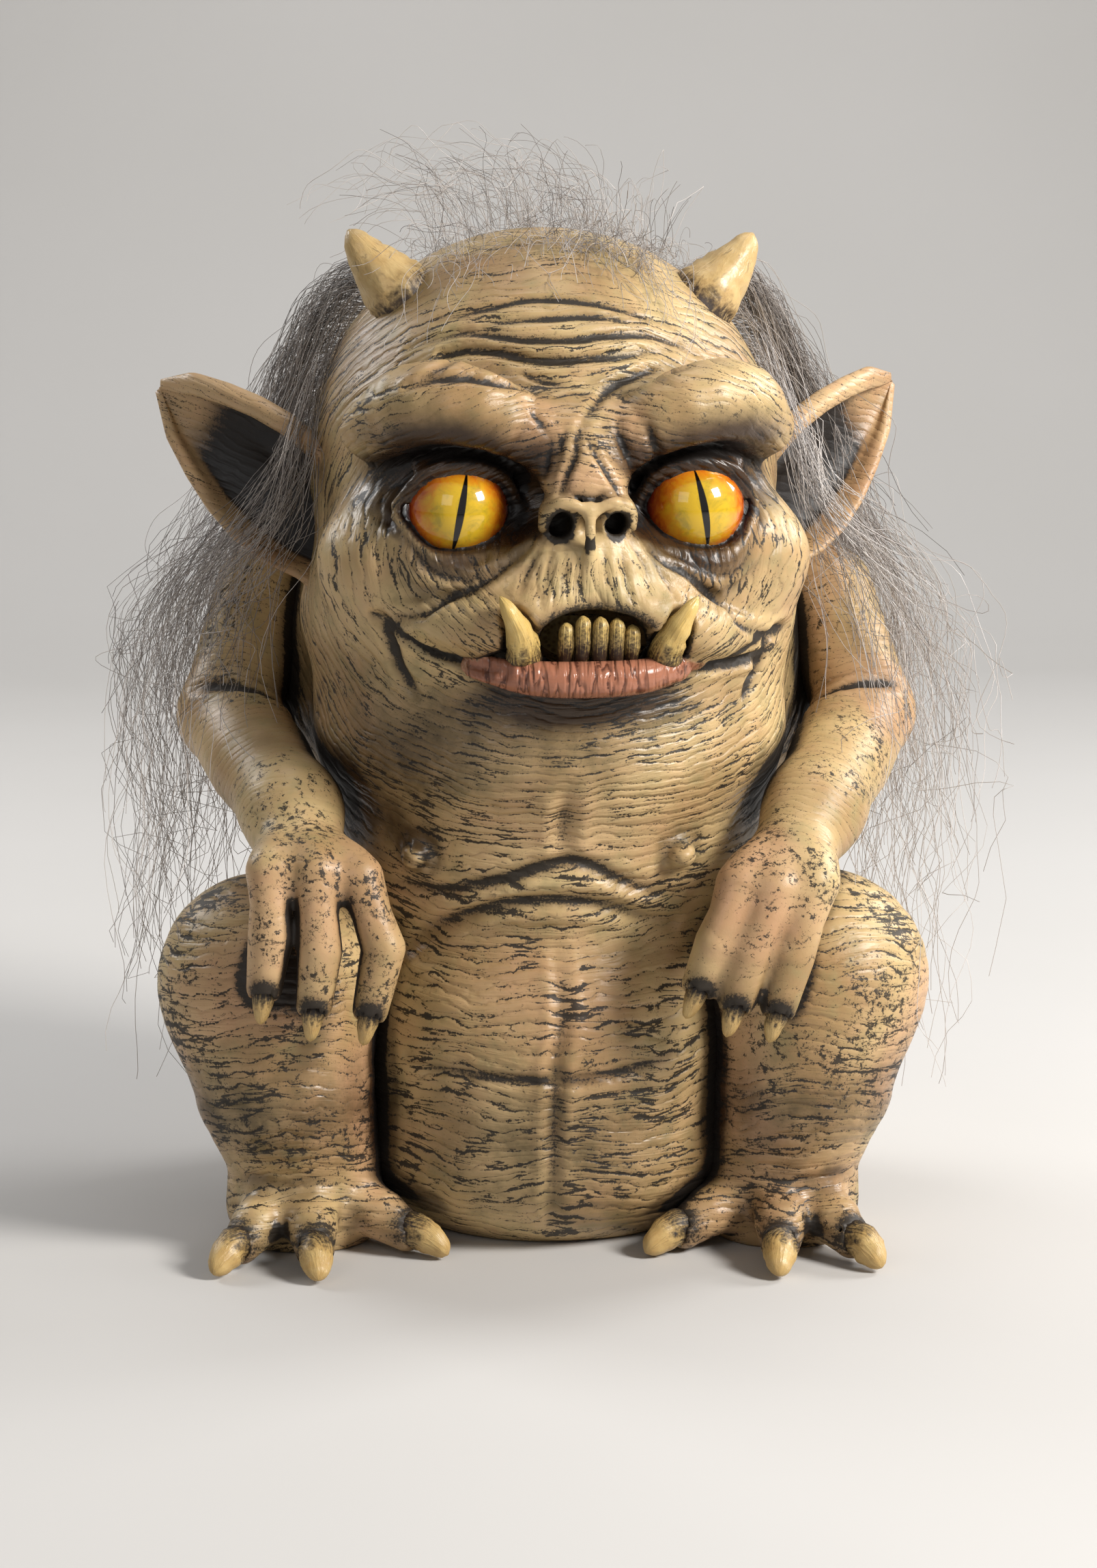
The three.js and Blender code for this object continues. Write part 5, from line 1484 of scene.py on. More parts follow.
@dataclass
class LimbCasting:
    """A limb's casting, wrinkled and painted."""

    limb: Limb
    node: str
    line: float
    depth: float
    seed: int

    FOLD = Furrow((), width=2.6, depth=2.2, ink=1.5)

    def build(self, finish: Material, body: Clay, others: list[Limb]) -> None:
        """Sculpts, wrinkles, paints and places the limb.

        Args:
            finish: The latex.
            body: The body's clay, which the limb is cut off inside of.
            others: The other limbs, whose creases against this one get dark wash and painted shade.
        """
        clay = self.limb.clay
        at, normal, quads = sculpt(clay, self.limb.axes)
        paint = Paint.bare(len(at))
        paint.ring = self.limb.rings(at) + 4 * lattice(at * 0.04, self.seed)
        patch = lattice(at * 0.045, self.seed + 5)
        paint.line = self.line * smooth(patch, 0.05, 0.45)
        paint.speck = np.ones(len(at))
        paint.pink = 0.75 * smooth(lattice(at * 0.035, self.seed + 2), 0.45, 0.75)
        closed = hollowness([clay, body] + [other.clay for other in others], at, normal)
        # Dark wash and black painted shade in the creases, brown painted shade round them, and brown low on
        # the legs
        paint.ink = smooth(closed, 0.34, 0.8)
        paint.brown = 0.4 * smooth(closed, 0.08, 0.45) + 0.52 * np.exp(-(((at[:, 2] - 48) / 22) ** 2))
        # Dark wash and painted shadow where another limb lies against this one or just in front of it, as the
        # fingers on the knee
        for ahead in (0, 7):
            spot = (at - [0, ahead, 0]).astype(np.float32)
            touch = np.minimum.reduce([other.clay.distance(spot) for other in others])
            paint.darken(seam_wash(at) * smooth(-touch, -7, -2))
        for socket in self.limb.sockets:
            paint.darken(1.2 * blob(at, socket, np.full(3, self.limb.run)))
        carved = at.astype(float)
        for fold in self.limb.folds:
            carve(carved, normal, fold, self.FOLD, paint)
        wrinkle(carved, normal, paint, self.depth * paint.line, self.seed)
        carved[:, 2] = np.maximum(carved[:, 2], 0)
        shown = (body.distance(at) > -5)[quads].any(1)
        used = np.unique(quads[shown])
        number = np.full(len(at), -1)
        number[used] = np.arange(len(used))
        made = piece(self.node + "_latex", carved[used], number[quads[shown]])
        for name, values in vars(paint).items():
            setattr(paint, name, values[used])
        paint.onto(made.data)
        dress(made, finish, "skin", self.node)


def loft(rings: Array) -> tuple[Array, list]:
    """A closed skin over a stack of rings, with a fan over each end.

    Args:
        rings: Points by ring and by place round it.

    Returns:
        The vertices and the faces.
    """
    count, sides = rings.shape[:2]
    at = np.concatenate([rings.reshape(-1, 3), rings[:1].mean(1), rings[-1:].mean(1)])
    faces = []
    for j in range(sides):
        k = (j + 1) % sides
        for start in range(0, (count - 1) * sides, sides):
            faces.append([start + j, start + k, start + sides + k, start + sides + j])
        faces.append([count * sides, k, j])
        faces.append([count * sides + 1, (count - 1) * sides + j, (count - 1) * sides + k])
    return at, faces


@dataclass(frozen=True)
class Spike:
    """A horn, tooth, tusk or claw: a curved, tapering piece of ivory.

    Attributes:
        line: Points along it from root to tip.
        widths: Its widths at those points.
        flat: Its depth as a share of its width.
        stained: How far up from the root the stain reaches, as a share of the length.
        rough: How deep its lumps are, as a share of its width.
        sides: How many points go round it.
        steps: How many rings it has.
        blunt: The share of the length that the tip is rounded over.
    """

    line: Array
    widths: tuple[float, ...]
    flat: float = 1.0
    stained: float = 0.4
    rough: float = 0.15
    sides: int = 16
    steps: int = 18
    blunt: float = 0.14

    def mesh(self, seed: int) -> tuple[Array, list, Array, Array]:
        """The spike's vertices, faces, closeness to the root and turn round it."""
        share = np.linspace(0, 1, self.steps) ** 0.9
        curve = through(np.array(self.line, float), 0.4)
        place = np.linspace(0, 1, len(curve))
        path = np.stack([np.interp(share, place, curve[:, k]) for k in range(3)], 1)
        width = np.interp(share, np.linspace(0, 1, len(self.line)), self.widths) / 2
        near_tip = 1 - np.clip((1 - share) / self.blunt, 0, 1)
        width *= np.sqrt(np.clip(1 - near_tip**2, 0.02, 1))
        ahead = np.gradient(path, axis=0)
        ahead /= np.linalg.norm(ahead, axis=1, keepdims=True)
        across = np.cross(ahead, np.array([0.02, 1.0, 0.05]))
        across /= np.linalg.norm(across, axis=1, keepdims=True)
        deep = np.cross(across, ahead)
        turn = np.linspace(0, 2 * np.pi, self.sides, endpoint=False)
        c, s = np.cos(turn)[None, :, None], np.sin(turn)[None, :, None]
        rings = path[:, None] + width[:, None, None] * (c * across[:, None] + self.flat * s * deep[:, None])
        lump = lattice(rings.reshape(-1, 3) * 0.45, seed).reshape(rings.shape[:2]) - 0.5
        outward = c * across[:, None] + s * deep[:, None]
        rings += (self.rough * width)[:, None, None] * 2 * lump[..., None] * outward
        at, faces = loft(rings)
        root = np.concatenate([np.repeat(1 - share / self.stained, self.sides), [1, 0]])
        return at, faces, root, np.concatenate([np.tile(turn, self.steps), [0, 0]])


def ivory(name: str, spikes: list[Spike], finish: Material, slot: str, *nodes: str) -> None:
    """Makes one piece of several spikes.

    Args:
        name: The piece's name.
        spikes: The spikes.
        finish: The ivory.
        slot: The material slot's name, passed on to dress.
        nodes: The frame's nodes that they stand for.
    """
    all_at, all_faces, roots, turns = [], [], [], []
    start = 0
    for seed, spike in enumerate(spikes):
        at, faces, root, turn = spike.mesh(seed + 31)
        all_faces += [[start + i for i in face] for face in faces]
        all_at.append(at)
        roots.append(root)
        turns.append(turn)
        start += len(at)
    made = piece(name, np.concatenate(all_at), all_faces)
    store(made.data, "root", np.concatenate(roots))
    store(made.data, "turn", np.sin(np.concatenate(turns)))
    dress(made, finish, slot, *nodes)


@dataclass(frozen=True)
class Mouthful:
    """The lower peg teeth and the two tusks, rooted behind the lip."""

    tips: tuple[Point, ...] = (
        (-6.7, -93.5, 203.5),
        (-1.8, -94.5, 205.6),
        (3.3, -95.0, 205.3),
        (8.3, -94.5, 204.8),
        (13.1, -93.5, 202.6),
    )
    gum: float = 191.5
    widths: tuple[float, ...] = (4.4, 4.7, 5.0, 4.8)

    def build(self, finish: Material) -> None:
        """Makes the teeth as one piece and each tusk as its own."""
        teeth = []
        for x, y, top in self.tips:
            tall = top - self.gum
            points = [(x, y + 4, self.gum - 7), (x, y + 3, self.gum), (x, y, self.gum + 0.6 * tall)]
            line = HEAD.onto_body(np.array([*points, (x, y + 0.4, top)]))
            look = {"flat": 1.05, "stained": 1.75, "rough": 0.1, "sides": 14, "steps": 26, "blunt": 0.18}
            teeth.append(Spike(line, self.widths, **look))
        ivory("lower_teeth", teeth, finish, "tooth", *(f"tooth_{number + 1}" for number in range(len(teeth))))
        for side in Side:
            line = HEAD.onto_body(np.array(TUSKS[side].line))
            tusk = Spike(line, TUSKS[side].widths, flat=0.95, stained=0.95, rough=0.12, sides=20, steps=30)
            ivory(f"{side.label}_tusk_ivory", [tusk], finish, "tooth", f"{side.label}_tusk")


@dataclass(frozen=True)
class Horns:
    """Two stubby horns that lean out from the scalp."""

    width: float = 22.0
    length: float = 27.0

    def build(self, finish: Material) -> None:
        """Makes each horn on its node's own line."""
        for side in Side:
            low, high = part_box(f"{side.label}_horn")
            s = side.value
            lean = HEAD.onto_body(np.array([[s * 0.62, 0.1, 0.78]])) - HEAD.onto_body(np.zeros((1, 3)))
            lean = lean[0] / np.linalg.norm(lean[0])
            tip_x = (high.x if s > 0 else low.x) / MM - 2 * s
            tip = np.array([tip_x, 0.5 * (low.y + high.y) / MM + 2, high.z / MM - 1.2])
            reach, w = self.length, self.width
            points = [tip - lean * (reach + 8), tip - lean * reach, tip - 0.5 * lean * reach + [s, 0, 0], tip]
            widths = (w, w, 0.64 * w, 0.26 * w)
            spike = Spike(np.array(points), widths, stained=0.62, rough=0.1, sides=24, steps=26)
            ivory(f"{side.label}_horn_ivory", [spike], finish, "horn", f"{side.label}_horn")


@dataclass(frozen=True)
class Claws:
    """The claws in the fingertips and the toes."""

    arms: ArmSizes
    legs: LegSizes

    NAMES = ("inner", "middle", "outer")

    def build(self, finish: Material) -> None:
        """Makes one piece for each hand and each foot."""
        for side in Side:
            fingers = []
            for number in range(3):
                _, middle, tip = self.arms.finger(side, number)
                ahead = (tip - middle) / np.linalg.norm(tip - middle)
                lift = np.array([0, -1.0, 0])
                points = [tip - 3 * ahead, tip + 3.5 * ahead + lift]
                points += [tip + 8 * ahead + lift, tip + 11.8 * ahead]
                look = {"flat": 0.8, "stained": 1.1, "rough": 0.1, "sides": 12, "steps": 16}
                fingers.append(Spike(np.array(points), (5, 7.2, 5.6, 2.6), **look))
            nodes = [f"{side.label}_{name}_finger_claw" for name in self.NAMES]
            ivory(f"{side.label}_finger_claws", fingers, finish, "claw", *nodes)
            toes = []
            for turn in self.legs.toe_turns:
                places = ((-4, 8), (5, 8), (11, 5.6), (16.4, 2.2))
                points = [self.legs.toe(side, turn, self.legs.toe_reach + out, up) for out, up in places]
                look = {"flat": 0.86, "stained": 1.1, "rough": 0.1, "sides": 16, "steps": 20}
                toes.append(Spike(np.array(points), (9, 12, 10.4, 5), **look))
            nodes = [f"{side.label}_{name}_toe_claw" for name in reversed(self.NAMES)]
            ivory(f"{side.label}_toe_claws", toes, finish, "claw", *nodes)


@dataclass(frozen=True)
class Eyes:
    """Glassy eyeballs that look a little inwards, with leaning slits."""

    radius: float = 15.5
    inward: float = 3.0
    rows: int = 40
    columns: int = 56

    SLIT_LEAN = {Side.RIGHT: 10.5, Side.LEFT: -10.0}

    def build(self, finish: Material) -> None:
        """Makes each eyeball, and stores where it looks for the iris to follow."""
        polar = np.linspace(0.02, np.pi - 0.02, self.rows)[::-1, None]
        turn = np.linspace(0, 2 * np.pi, self.columns, endpoint=False)
        level = -np.cos(polar) * np.ones(self.columns)
        ball = np.stack([np.sin(polar) * np.cos(turn), level, np.sin(polar) * np.sin(turn)], -1)
        across, ahead, up = np.concatenate([ball.reshape(-1, 3), [[0, 1, 0], [0, -1, 0]]]).T
        for side in Side:
            aim = math.radians(-side.value * self.inward - HEAD.degrees)
            x, y, z = np.moveaxis(self.radius * ball, -1, 0)
            looking = [x * math.cos(aim) + y * math.sin(aim), y * math.cos(aim) - x * math.sin(aim), z]
            centre = HEAD.onto_body(np.array([[side.value * EYE[0], *EYE[1:]]]))
            made = piece(f"{side.label}_eyeball", *loft(np.stack(looking, -1) + centre))
            c, s = np.cos(np.radians(self.SLIT_LEAN[side])), np.sin(np.radians(self.SLIT_LEAN[side]))
            store(made.data, "gaze", np.stack([c * across - s * up, ahead, s * across + c * up], 1))
            dress(made, finish, "eye", f"{side.label}_eye")


@dataclass(frozen=True)
class Ears:
    """Long cupped ears that sweep out, back and up."""

    length: float = 66.0
    width: float = 41.0
    thick: float = 2.4
    cup: float = 12.0

    def build(self, finish: Material) -> None:
        """Makes each ear as a cupped leaf with a rolled rim, in place of its node."""
        for side in Side:
            made = self.leaf(side)
            dress(made, finish, "skin", f"{side.label}_ear")

    def leaf(self, side: Side) -> Object:
        """One ear's mesh, with its paint."""
        s = side.value
        turned = HEAD.onto_body(np.array([[s * 0.72, 0.53, 0.45], [0, 0, 0]]))
        along = turned[0] - turned[1]
        along /= np.linalg.norm(along)
        upright = np.array([0, 0, 1]) - along * along[2]
        upright /= np.linalg.norm(upright)
        back = np.cross(upright, along) * s
        seat = HEAD.onto_body(np.array([[s * 74.0, 0.5, 234.0]]))[0]
        u, v = np.meshgrid(np.linspace(-0.42, 1.0, 54), np.linspace(-1, 1, 57), indexing="ij")
        share = np.interp(u, np.linspace(-0.16, 1, 7), [0.86, 0.98, 1, 0.9, 0.72, 0.48, 0.06])
        rise = -0.16 * (1 - u) + 0.05
        angle = v * np.pi / 2
        rim = np.exp(-(((1 - np.abs(v)) / 0.2) ** 2))
        fold = np.exp(-(((v - 0.3 + 0.3 * u) / 0.14) ** 2)) * smooth(0.6 - u, 0, 0.4)
        depth = share * self.cup * (np.cos(angle) - 0.5) - 4.5 * rim * share - 3.4 * fold * share
        high = (0.5 * share * self.width * np.sin(angle) + rise * self.width)[..., None]
        sheet = seat + (u * self.length)[..., None] * along + high * upright + depth[..., None] * back
        normal = np.cross(np.gradient(sheet, axis=0), np.gradient(sheet, axis=1))
        normal /= np.linalg.norm(normal, axis=2, keepdims=True)
        normal *= np.sign((normal * back).sum(2).mean())
        roll = np.where(v > 0, 5.0, 1.8) * np.exp(-(((np.abs(v) - 0.88) / 0.15) ** 2))
        end = np.sqrt(1 - np.clip((np.abs(v) - 0.84) / 0.163, 0, 1) ** 2)
        half = 0.5 * (self.thick + roll * np.clip(share / 0.4, 0.1, 1)) * end
        front, rear = sheet - half[..., None] * normal, sheet + half[..., None] * normal
        rings = np.concatenate([rear, front[:, ::-1]], 1)
        if s < 0:
            rings = rings[:, ::-1]
        at, faces = loft(rings)
        paint = Paint.bare(len(at))
        inside = np.concatenate([np.zeros_like(v), np.ones_like(v)], 1)
        if s < 0:
            inside = inside[:, ::-1]
        # The inside of the cup is brown and black towards its root: dark paint and painted shade in the
        # hollow
        hollowed = smooth(np.abs(np.concatenate([v, v[:, ::-1]], 1) + 0.08), 0.78, 0.4) * inside
        deep = np.concatenate([(hollowed * smooth(np.concatenate([u, u], 1), 0.95, 0.4)).ravel(), [0, 0]])
        paint.ring = at[:, 2] + 0.4 * at[:, 0]
        paint.brown = 1.1 * deep
        paint.ink = 0.9 * smooth(deep, 0.15, 0.85)
        paint.pink = np.full(len(at), 0.55)
        paint.line = np.full(len(at), 0.35)
        paint.speck = np.full(len(at), 0.6)
        made = piece(f"{side.label}_ear_latex", at, faces)
        paint.onto(made.data)
        return made


# Hair


@dataclass(frozen=True)
class Hank:
    """A glued hank of hair: guide lines, and how the strands scatter round them.

    Attributes:
        node: The frame's node that it stands for.
        strands: How many strands follow each guide.
        spread: How far strands stand off their guide at the tip, in millimetres.
        frizz: How far they wander.
        curl: How far they kink.
        kink: How many kinks there are to the metre.
        points: How many points a strand has.
        radius: A strand's radius.
        seed: Picks the scatter.
        limit: How far from the middle strands are turned back.
    """

    node: str
    strands: int
    spread: float
    frizz: float
    curl: float
    kink: float
    points: int
    radius: float
    seed: int
    limit: float = 143.0

    def tree(self, material: Material) -> NodeTree:
        """The node tree that grows strands along guide lines."""
        tree = bpy.data.node_groups.new(f"{self.node}_strands", "GeometryNodeTree")
        face = tree.interface
        face.new_socket("Guides", in_out="INPUT", socket_type="NodeSocketGeometry")
        for label, value in self.values().items():
            kind = "NodeSocketInt" if isinstance(value, int) else NUMBER
            face.new_socket(label, in_out="INPUT", socket_type=kind).default_value = value
        face.new_socket("Hair", in_out="OUTPUT", socket_type="NodeSocketGeometry")
        w = Wiring(tree)
        given = {socket.name: socket for socket in w.node("NodeGroupInput").outputs}
        guides = w.out("GeometryNodeMeshToCurve", {"Mesh": given["Guides"]})
        guides = w.out("GeometryNodeResampleCurve", {"Curve": guides, "Count": given["Points"]})
        inputs = {"Geometry": guides, "Amount": given["Strands"]}
        copies = w.out("GeometryNodeDuplicateElements", inputs, domain="SPLINE")
        held = self.lots(w, given["Seed"], copies)
        inputs = {"Geometry": held.outputs[0], "Position": self.scatter(w, given, held)}
        moved = w.out("GeometryNodeSetPosition", inputs)
        inputs = {"Curve": moved, "End": w.times_plus(held.outputs["Tone"], 0.65, 0.35)}
        trimmed = w.out("GeometryNodeTrimCurve", inputs, mode="FACTOR")
        inputs = {"Geometry": trimmed, "Name": "tone", "Value": held.outputs["Tone"]}
        toned = w.out("GeometryNodeStoreNamedAttribute", inputs, data_type="FLOAT", domain="CURVE")
        taper = w.times_plus(w.node("GeometryNodeSplineParameter").outputs["Factor"], -0.7, 1.0)
        thick = w.out("GeometryNodeSetCurveRadius", {"Curve": toned, "Radius": taper})
        inputs = {"Resolution": 3, "Radius": given["Radius"]}
        ring = w.out("GeometryNodeCurvePrimitiveCircle", inputs)
        tube = w.out("GeometryNodeCurveToMesh", {"Curve": thick, "Profile Curve": ring})
        real = w.out("GeometryNodeRealizeInstances", {0: tube})
        painted = w.out("GeometryNodeSetMaterial", {"Geometry": real, "Material": material})
        w.node("NodeGroupOutput", {"Hair": painted})
        return tree

    def lots(self, w: Wiring, seed: Socket, strands: Socket) -> Node:
        """Draws a lot, a tone and a looseness for each strand, in the node that holds them."""
        index = w.out("GeometryNodeInputIndex")
        inputs = {0: (-1, -1, -1), 1: (1, 1, 1), "ID": index, "Seed": seed}
        drawn = {"Lot": w.out("FunctionNodeRandomValue", inputs, data_type="FLOAT_VECTOR")}
        for label, shift in (("Tone", 7), ("Stray", 13)):
            inputs = {"ID": index, "Seed": w.math("ADD", seed, shift)}
            drawn[label] = w.node("FunctionNodeRandomValue", inputs, data_type="FLOAT").outputs[1]
        held = w.node("GeometryNodeCaptureAttribute", {"Geometry": strands}, domain="CURVE")
        for label in drawn:
            held.capture_items.new("VECTOR" if label == "Lot" else "FLOAT", label)
        w.feed(held, drawn)
        return held

    def scatter(self, w: Wiring, given: dict[str, Socket], held: Node) -> Socket:
        """Where the strands' points go: off the guide, wandering, kinked and turned back at the limit.

        Args:
            w: The tree's wiring.
            given: The tree's inputs by name.
            held: The node that holds each strand's lots.

        Returns:
            The new position.
        """
        lot, stray = held.outputs["Lot"], held.outputs["Stray"]
        along = w.node("GeometryNodeSplineParameter").outputs["Factor"]
        where = w.out("GeometryNodeInputPosition")
        spread = w.math("SINE", w.times(w.math("POWER", along, 0.8), 2.5))
        spread = w.times(w.times_plus(spread, 0.8, 0.2), given["Spread"])
        loose = w.times_plus(w.math("POWER", stray, 4.0), 4.0, 1.2)
        loose = w.times(w.times(along, given["Frizz"]), loose)
        sample = w.vector("MULTIPLY_ADD", where, (24.0, 24.0, 24.0), w.scaled(lot, 0.9))
        wander = self.drift(w, sample, loose)
        curl = w.times(w.times_plus(along, 3.0, 1.0), given["Curl"])
        sample = w.vector("ADD", w.scaled(where, given["Kink"]), w.scaled(lot, 11.0))
        kinks = self.drift(w, sample, curl)
        offset = w.vector("ADD", w.vector("ADD", w.scaled(lot, spread), wander), kinks)
        x, y, z = w.node("ShaderNodeSeparateXYZ", {0: w.vector("ADD", where, offset)}).outputs
        past = w.math("MAXIMUM", w.math("SUBTRACT", w.math("ABSOLUTE", x), given["Limit"]), 0.0)
        back = w.times(w.math("SIGN", x), w.times(past, 1.6))
        turned = {0: w.math("SUBTRACT", x, back), 1: y, 2: z}
        return w.out("ShaderNodeCombineXYZ", turned)

    def drift(self, w: Wiring, sample: Socket, reach: Socket) -> Socket:
        """A smooth random offset about zero, scaled by a reach."""
        noise = w.node("ShaderNodeTexNoise", {"Vector": sample, "Scale": 1.0, "Detail": 0.0}).outputs["Color"]
        return w.scaled(w.vector("SUBTRACT", noise, (0.5, 0.5, 0.5)), reach)

    def values(self) -> dict[str, int | float]:
        """The node tree's inputs by name, with lengths in metres."""
        lengths = {"Spread": self.spread, "Frizz": self.frizz, "Curl": self.curl, "Radius": self.radius}
        lengths["Limit"] = self.limit
        numbers = {"Strands": self.strands, "Points": self.points, "Kink": self.kink, "Seed": self.seed}
        return {label: value * MM for label, value in lengths.items()} | numbers

    def build(self, guides: list[Array], material: Material) -> None:
        """Grows the hank along its guides and places it.

        Args:
            guides: Points along each guide, in millimetres.
            material: The fibre.
        """
        seed_mesh = bpy.data.meshes.new(f"{self.node}_guides")
        at = np.concatenate(guides) * MM
        edges, start = [], 0
        for guide in guides:
            edges += [(start + i, start + i + 1) for i in range(len(guide) - 1)]
            start += len(guide)
        seed_mesh.from_pydata(at.tolist(), edges, [])
        grower = bpy.data.objects.new(f"{self.node}_grower", seed_mesh)
        bpy.context.scene.collection.objects.link(grower)
        modifier = grower.modifiers.new("Strands", "NODES")
        tree = self.tree(material)
        values = self.values()
        modifier.node_group = tree
        for item in tree.interface.items_tree:
            if item.item_type == "SOCKET" and item.in_out == "INPUT" and item.name in values:
                modifier[item.identifier] = values[item.name]
        evaluated = grower.evaluated_get(bpy.context.evaluated_depsgraph_get())
        mesh = bpy.data.meshes.new_from_object(evaluated)
        bpy.data.objects.remove(grower)
        made = bpy.data.objects.new(f"{self.node}_strands", mesh)
        bpy.context.scene.collection.objects.link(made)
        dress(made, material, "hair", self.node)


@dataclass(frozen=True)
class Coiffure:
    """Where the hair is rooted and how it falls, with the skull that it lies on."""

    seed: int = 5
    skull: Point = (0.0, 6.0, 244.0)
    radii: Point = (75.0, 79.0, 73.5)

    STRANDS = {Side.LEFT: 11, Side.RIGHT: 8}
    REAR_WIDTH = {Side.LEFT: 104, Side.RIGHT: 108}
    REAR_GUIDES = 44
    TEMPLE_GUIDES = {Side.LEFT: 6, Side.RIGHT: 14}
    TUFT_GUIDES = 40
    FRINGE_GUIDES = 60
    COMBED_GUIDES = 54
    BACK_GUIDES = 60

    def rear(self, side: Side) -> list[Array]:
        """Guides of the long hank that falls behind the ear and the arm."""
        rng = np.random.default_rng(self.seed + side.value)
        s, guides = side.value, []
        for number in range(self.REAR_GUIDES):
            t = (number + rng.random()) / self.REAR_GUIDES
            swing = rng.normal(0, 1, 6)
            root = np.array([s * (44 + 28 * t), 10 + 30 * t, 303 - 50 * t * t])
            wide = self.REAR_WIDTH[side] + 26 * rng.random() ** 2 + 5 * max(swing[0], 0)
            deep = 40 + 13 * swing[1]
            end = 30 + 130 * rng.random()
            points = [root, root + [s * (15 + 6 * rng.random()), 10, -1 - 7 * t]]
            points.append([s * (86 + 12 * rng.random()), deep + 12, 236 + 9 * swing[2]])
            points.append([s * (wide - 4), deep, 188 + 7 * swing[3]])
            points.append([s * (wide + 4 * swing[4]), deep - 6, 0.5 * (188 + end)])
            points.append([s * (wide + 7 * swing[5]), deep - 12, end])
            guides.append(through(np.array(points, float), 9.0))
        return guides

    def temple(self, side: Side) -> list[Array]:
        """Guides of the thinner hank that sweeps from the temple over the ear's root and the arm."""
        rng = np.random.default_rng(self.seed + 20 + side.value)
        s, guides = side.value, []
        for number in range(self.TEMPLE_GUIDES[side]):
            t = (number + rng.random()) / self.TEMPLE_GUIDES[side]
            swing = rng.normal(0, 1, 6)
            root = np.array([s * (54 + 20 * t), 4 - 10 * t, 299 - 46 * t])
            reach = rng.random() ** 0.8
            end = min(215 - 185 * rng.random() ** 0.8, 150)
            points = [root, root + [s * (9 + 4 * reach), -6, -9]]
            points.append([s * (79 + 7 * reach), -22 + 4 * swing[0], 240 - 8 * t])
            points.append([s * (90 + 38 * reach + 3 * swing[1]), -16 + 8 * swing[2], 196])
            points.append([s * (94 + 40 * reach + 4 * swing[3]), -40 + 10 * swing[4], 0.5 * (196 + end)])
            points.append([s * (96 + 36 * reach + 6 * swing[5]), -62 + 8 * swing[4], end])
            guides.append(through(np.array(points, float), 9.0))
        return guides

    def crown(self) -> list[Array]:
        """Guides of the loose tuft on the crown, the thin fringe and the hair that is combed back."""
        rng = np.random.default_rng(self.seed + 40)
        guides = [self.tuft(rng) for _ in range(self.TUFT_GUIDES)]
        guides += [self.fringe(rng) for _ in range(self.FRINGE_GUIDES)]
        guides += [self.combed(rng) for _ in range(self.COMBED_GUIDES)]
        return [through(np.array(points, float), 5.0) for points in guides]

    def tuft(self, rng: np.random.Generator) -> list[Array]:
        """A lock that rises from the crown and falls forward to one side."""
        x, y = 36 * (2 * rng.random() - 1), -24 + 62 * rng.random()
        root = np.array([x, y, self.scalp(x, y)])
        flow = rng.normal(0, 1, 5)
        rise = 10 + 22 * rng.random() ** 1.4
        points = [root, root + [0.1 * x - 3 + 3 * flow[0], -3 + 3 * flow[1], 0.7 * rise]]
        points.append(root + [0.25 * x - 10 + 8 * flow[2], -8 + 6 * flow[3], rise])
        points.append(root + [0.4 * x - 17 + 11 * flow[2], -9 + 9 * flow[4], 0.72 * rise])
        points.append(root + [0.5 * x - 22 + 12 * flow[2], -8 + 10 * flow[4], 0.3 * rise])
        return points

    def fringe(self, rng: np.random.Generator) -> list[list[float]]:
        """A hair that lies forward on the scalp."""
        x, y = 36 * (2 * rng.random() - 1), -8 - 16 * rng.random()
        drift = 6 * rng.normal()
        points = []
        for share in np.linspace(0, 1, 5):
            ahead, aside = y - (16 + 7 * abs(drift) / 5) * share, x + drift * share
            lift = 0.8 + 2.2 * math.sin(math.pi * share)
            points.append([aside, ahead, self.scalp(aside, ahead) + lift])
        return points

    def combed(self, rng: np.random.Generator) -> list[list[float]]:
        """A hair that lies back over the skull."""
        x, start = 56 * (2 * rng.random() - 1), -0.15 + 0.8 * rng.random()
        drift = 5 * rng.normal()
        points = []
        for share in np.linspace(0, 1, 6):
            turn, aside = start + 0.7 * share, x * (1 + 0.06 * share) + drift * share
            out = self.rest(aside / self.radii[0]) + (1 + 3.5 * math.sin(math.pi * share)) / 76
            back, up = self.radii[1] * out * math.sin(turn), self.radii[2] * out * math.cos(turn)
            points.append([aside, self.skull[1] + back, self.skull[2] + up])
        return points

    def back(self) -> list[Array]:
        """Guides of the hank that hangs down the back."""
        rng = np.random.default_rng(self.seed + 60)
        guides = []
        for number in range(self.BACK_GUIDES):
            x = 70 * (2 * (number + rng.random()) / self.BACK_GUIDES - 1)
            sway = rng.normal(0, 1, 4)
            end = 60 + 70 * rng.random()
            across, up = 0.84 * x, 303 - 0.009 * x * x - 28 * rng.random()
            root = [across, self.nape(across, up), up]
            off = 102 - 0.004 * x * x
            points = [root, [0.93 * x, root[1] + 15, up - 20], [x, off + 2 * sway[0], 215]]
            points.append([x + 2 * sway[2], off + 3 * sway[1], 160])
            points.append([x + 6 * sway[2], off, 0.5 * (160 + end)])
            points.append([0.95 * x + 10 * sway[3], off - 5, end])
            guides.append(through(np.array(points, float), 9.0))
        return guides

    def rest(self, a: float, b: float = 0.0) -> float:
        """What is left of the skull's third measure, past shares of the other two."""
        return math.sqrt(max(1 - a**2 - b**2, 0.02))

    def scalp(self, x: float, y: float) -> float:
        """The height of the scalp, at a place across and along it."""
        left = self.rest(x / self.radii[0], (y - self.skull[1]) / self.radii[1])
        return self.skull[2] + self.radii[2] * left

    def nape(self, x: float, z: float) -> float:
        """How far back the skull reaches, at a place across and up it."""
        left = self.rest(x / self.radii[0], (z - self.skull[2]) / self.radii[2])
        return self.skull[1] + self.radii[1] * left

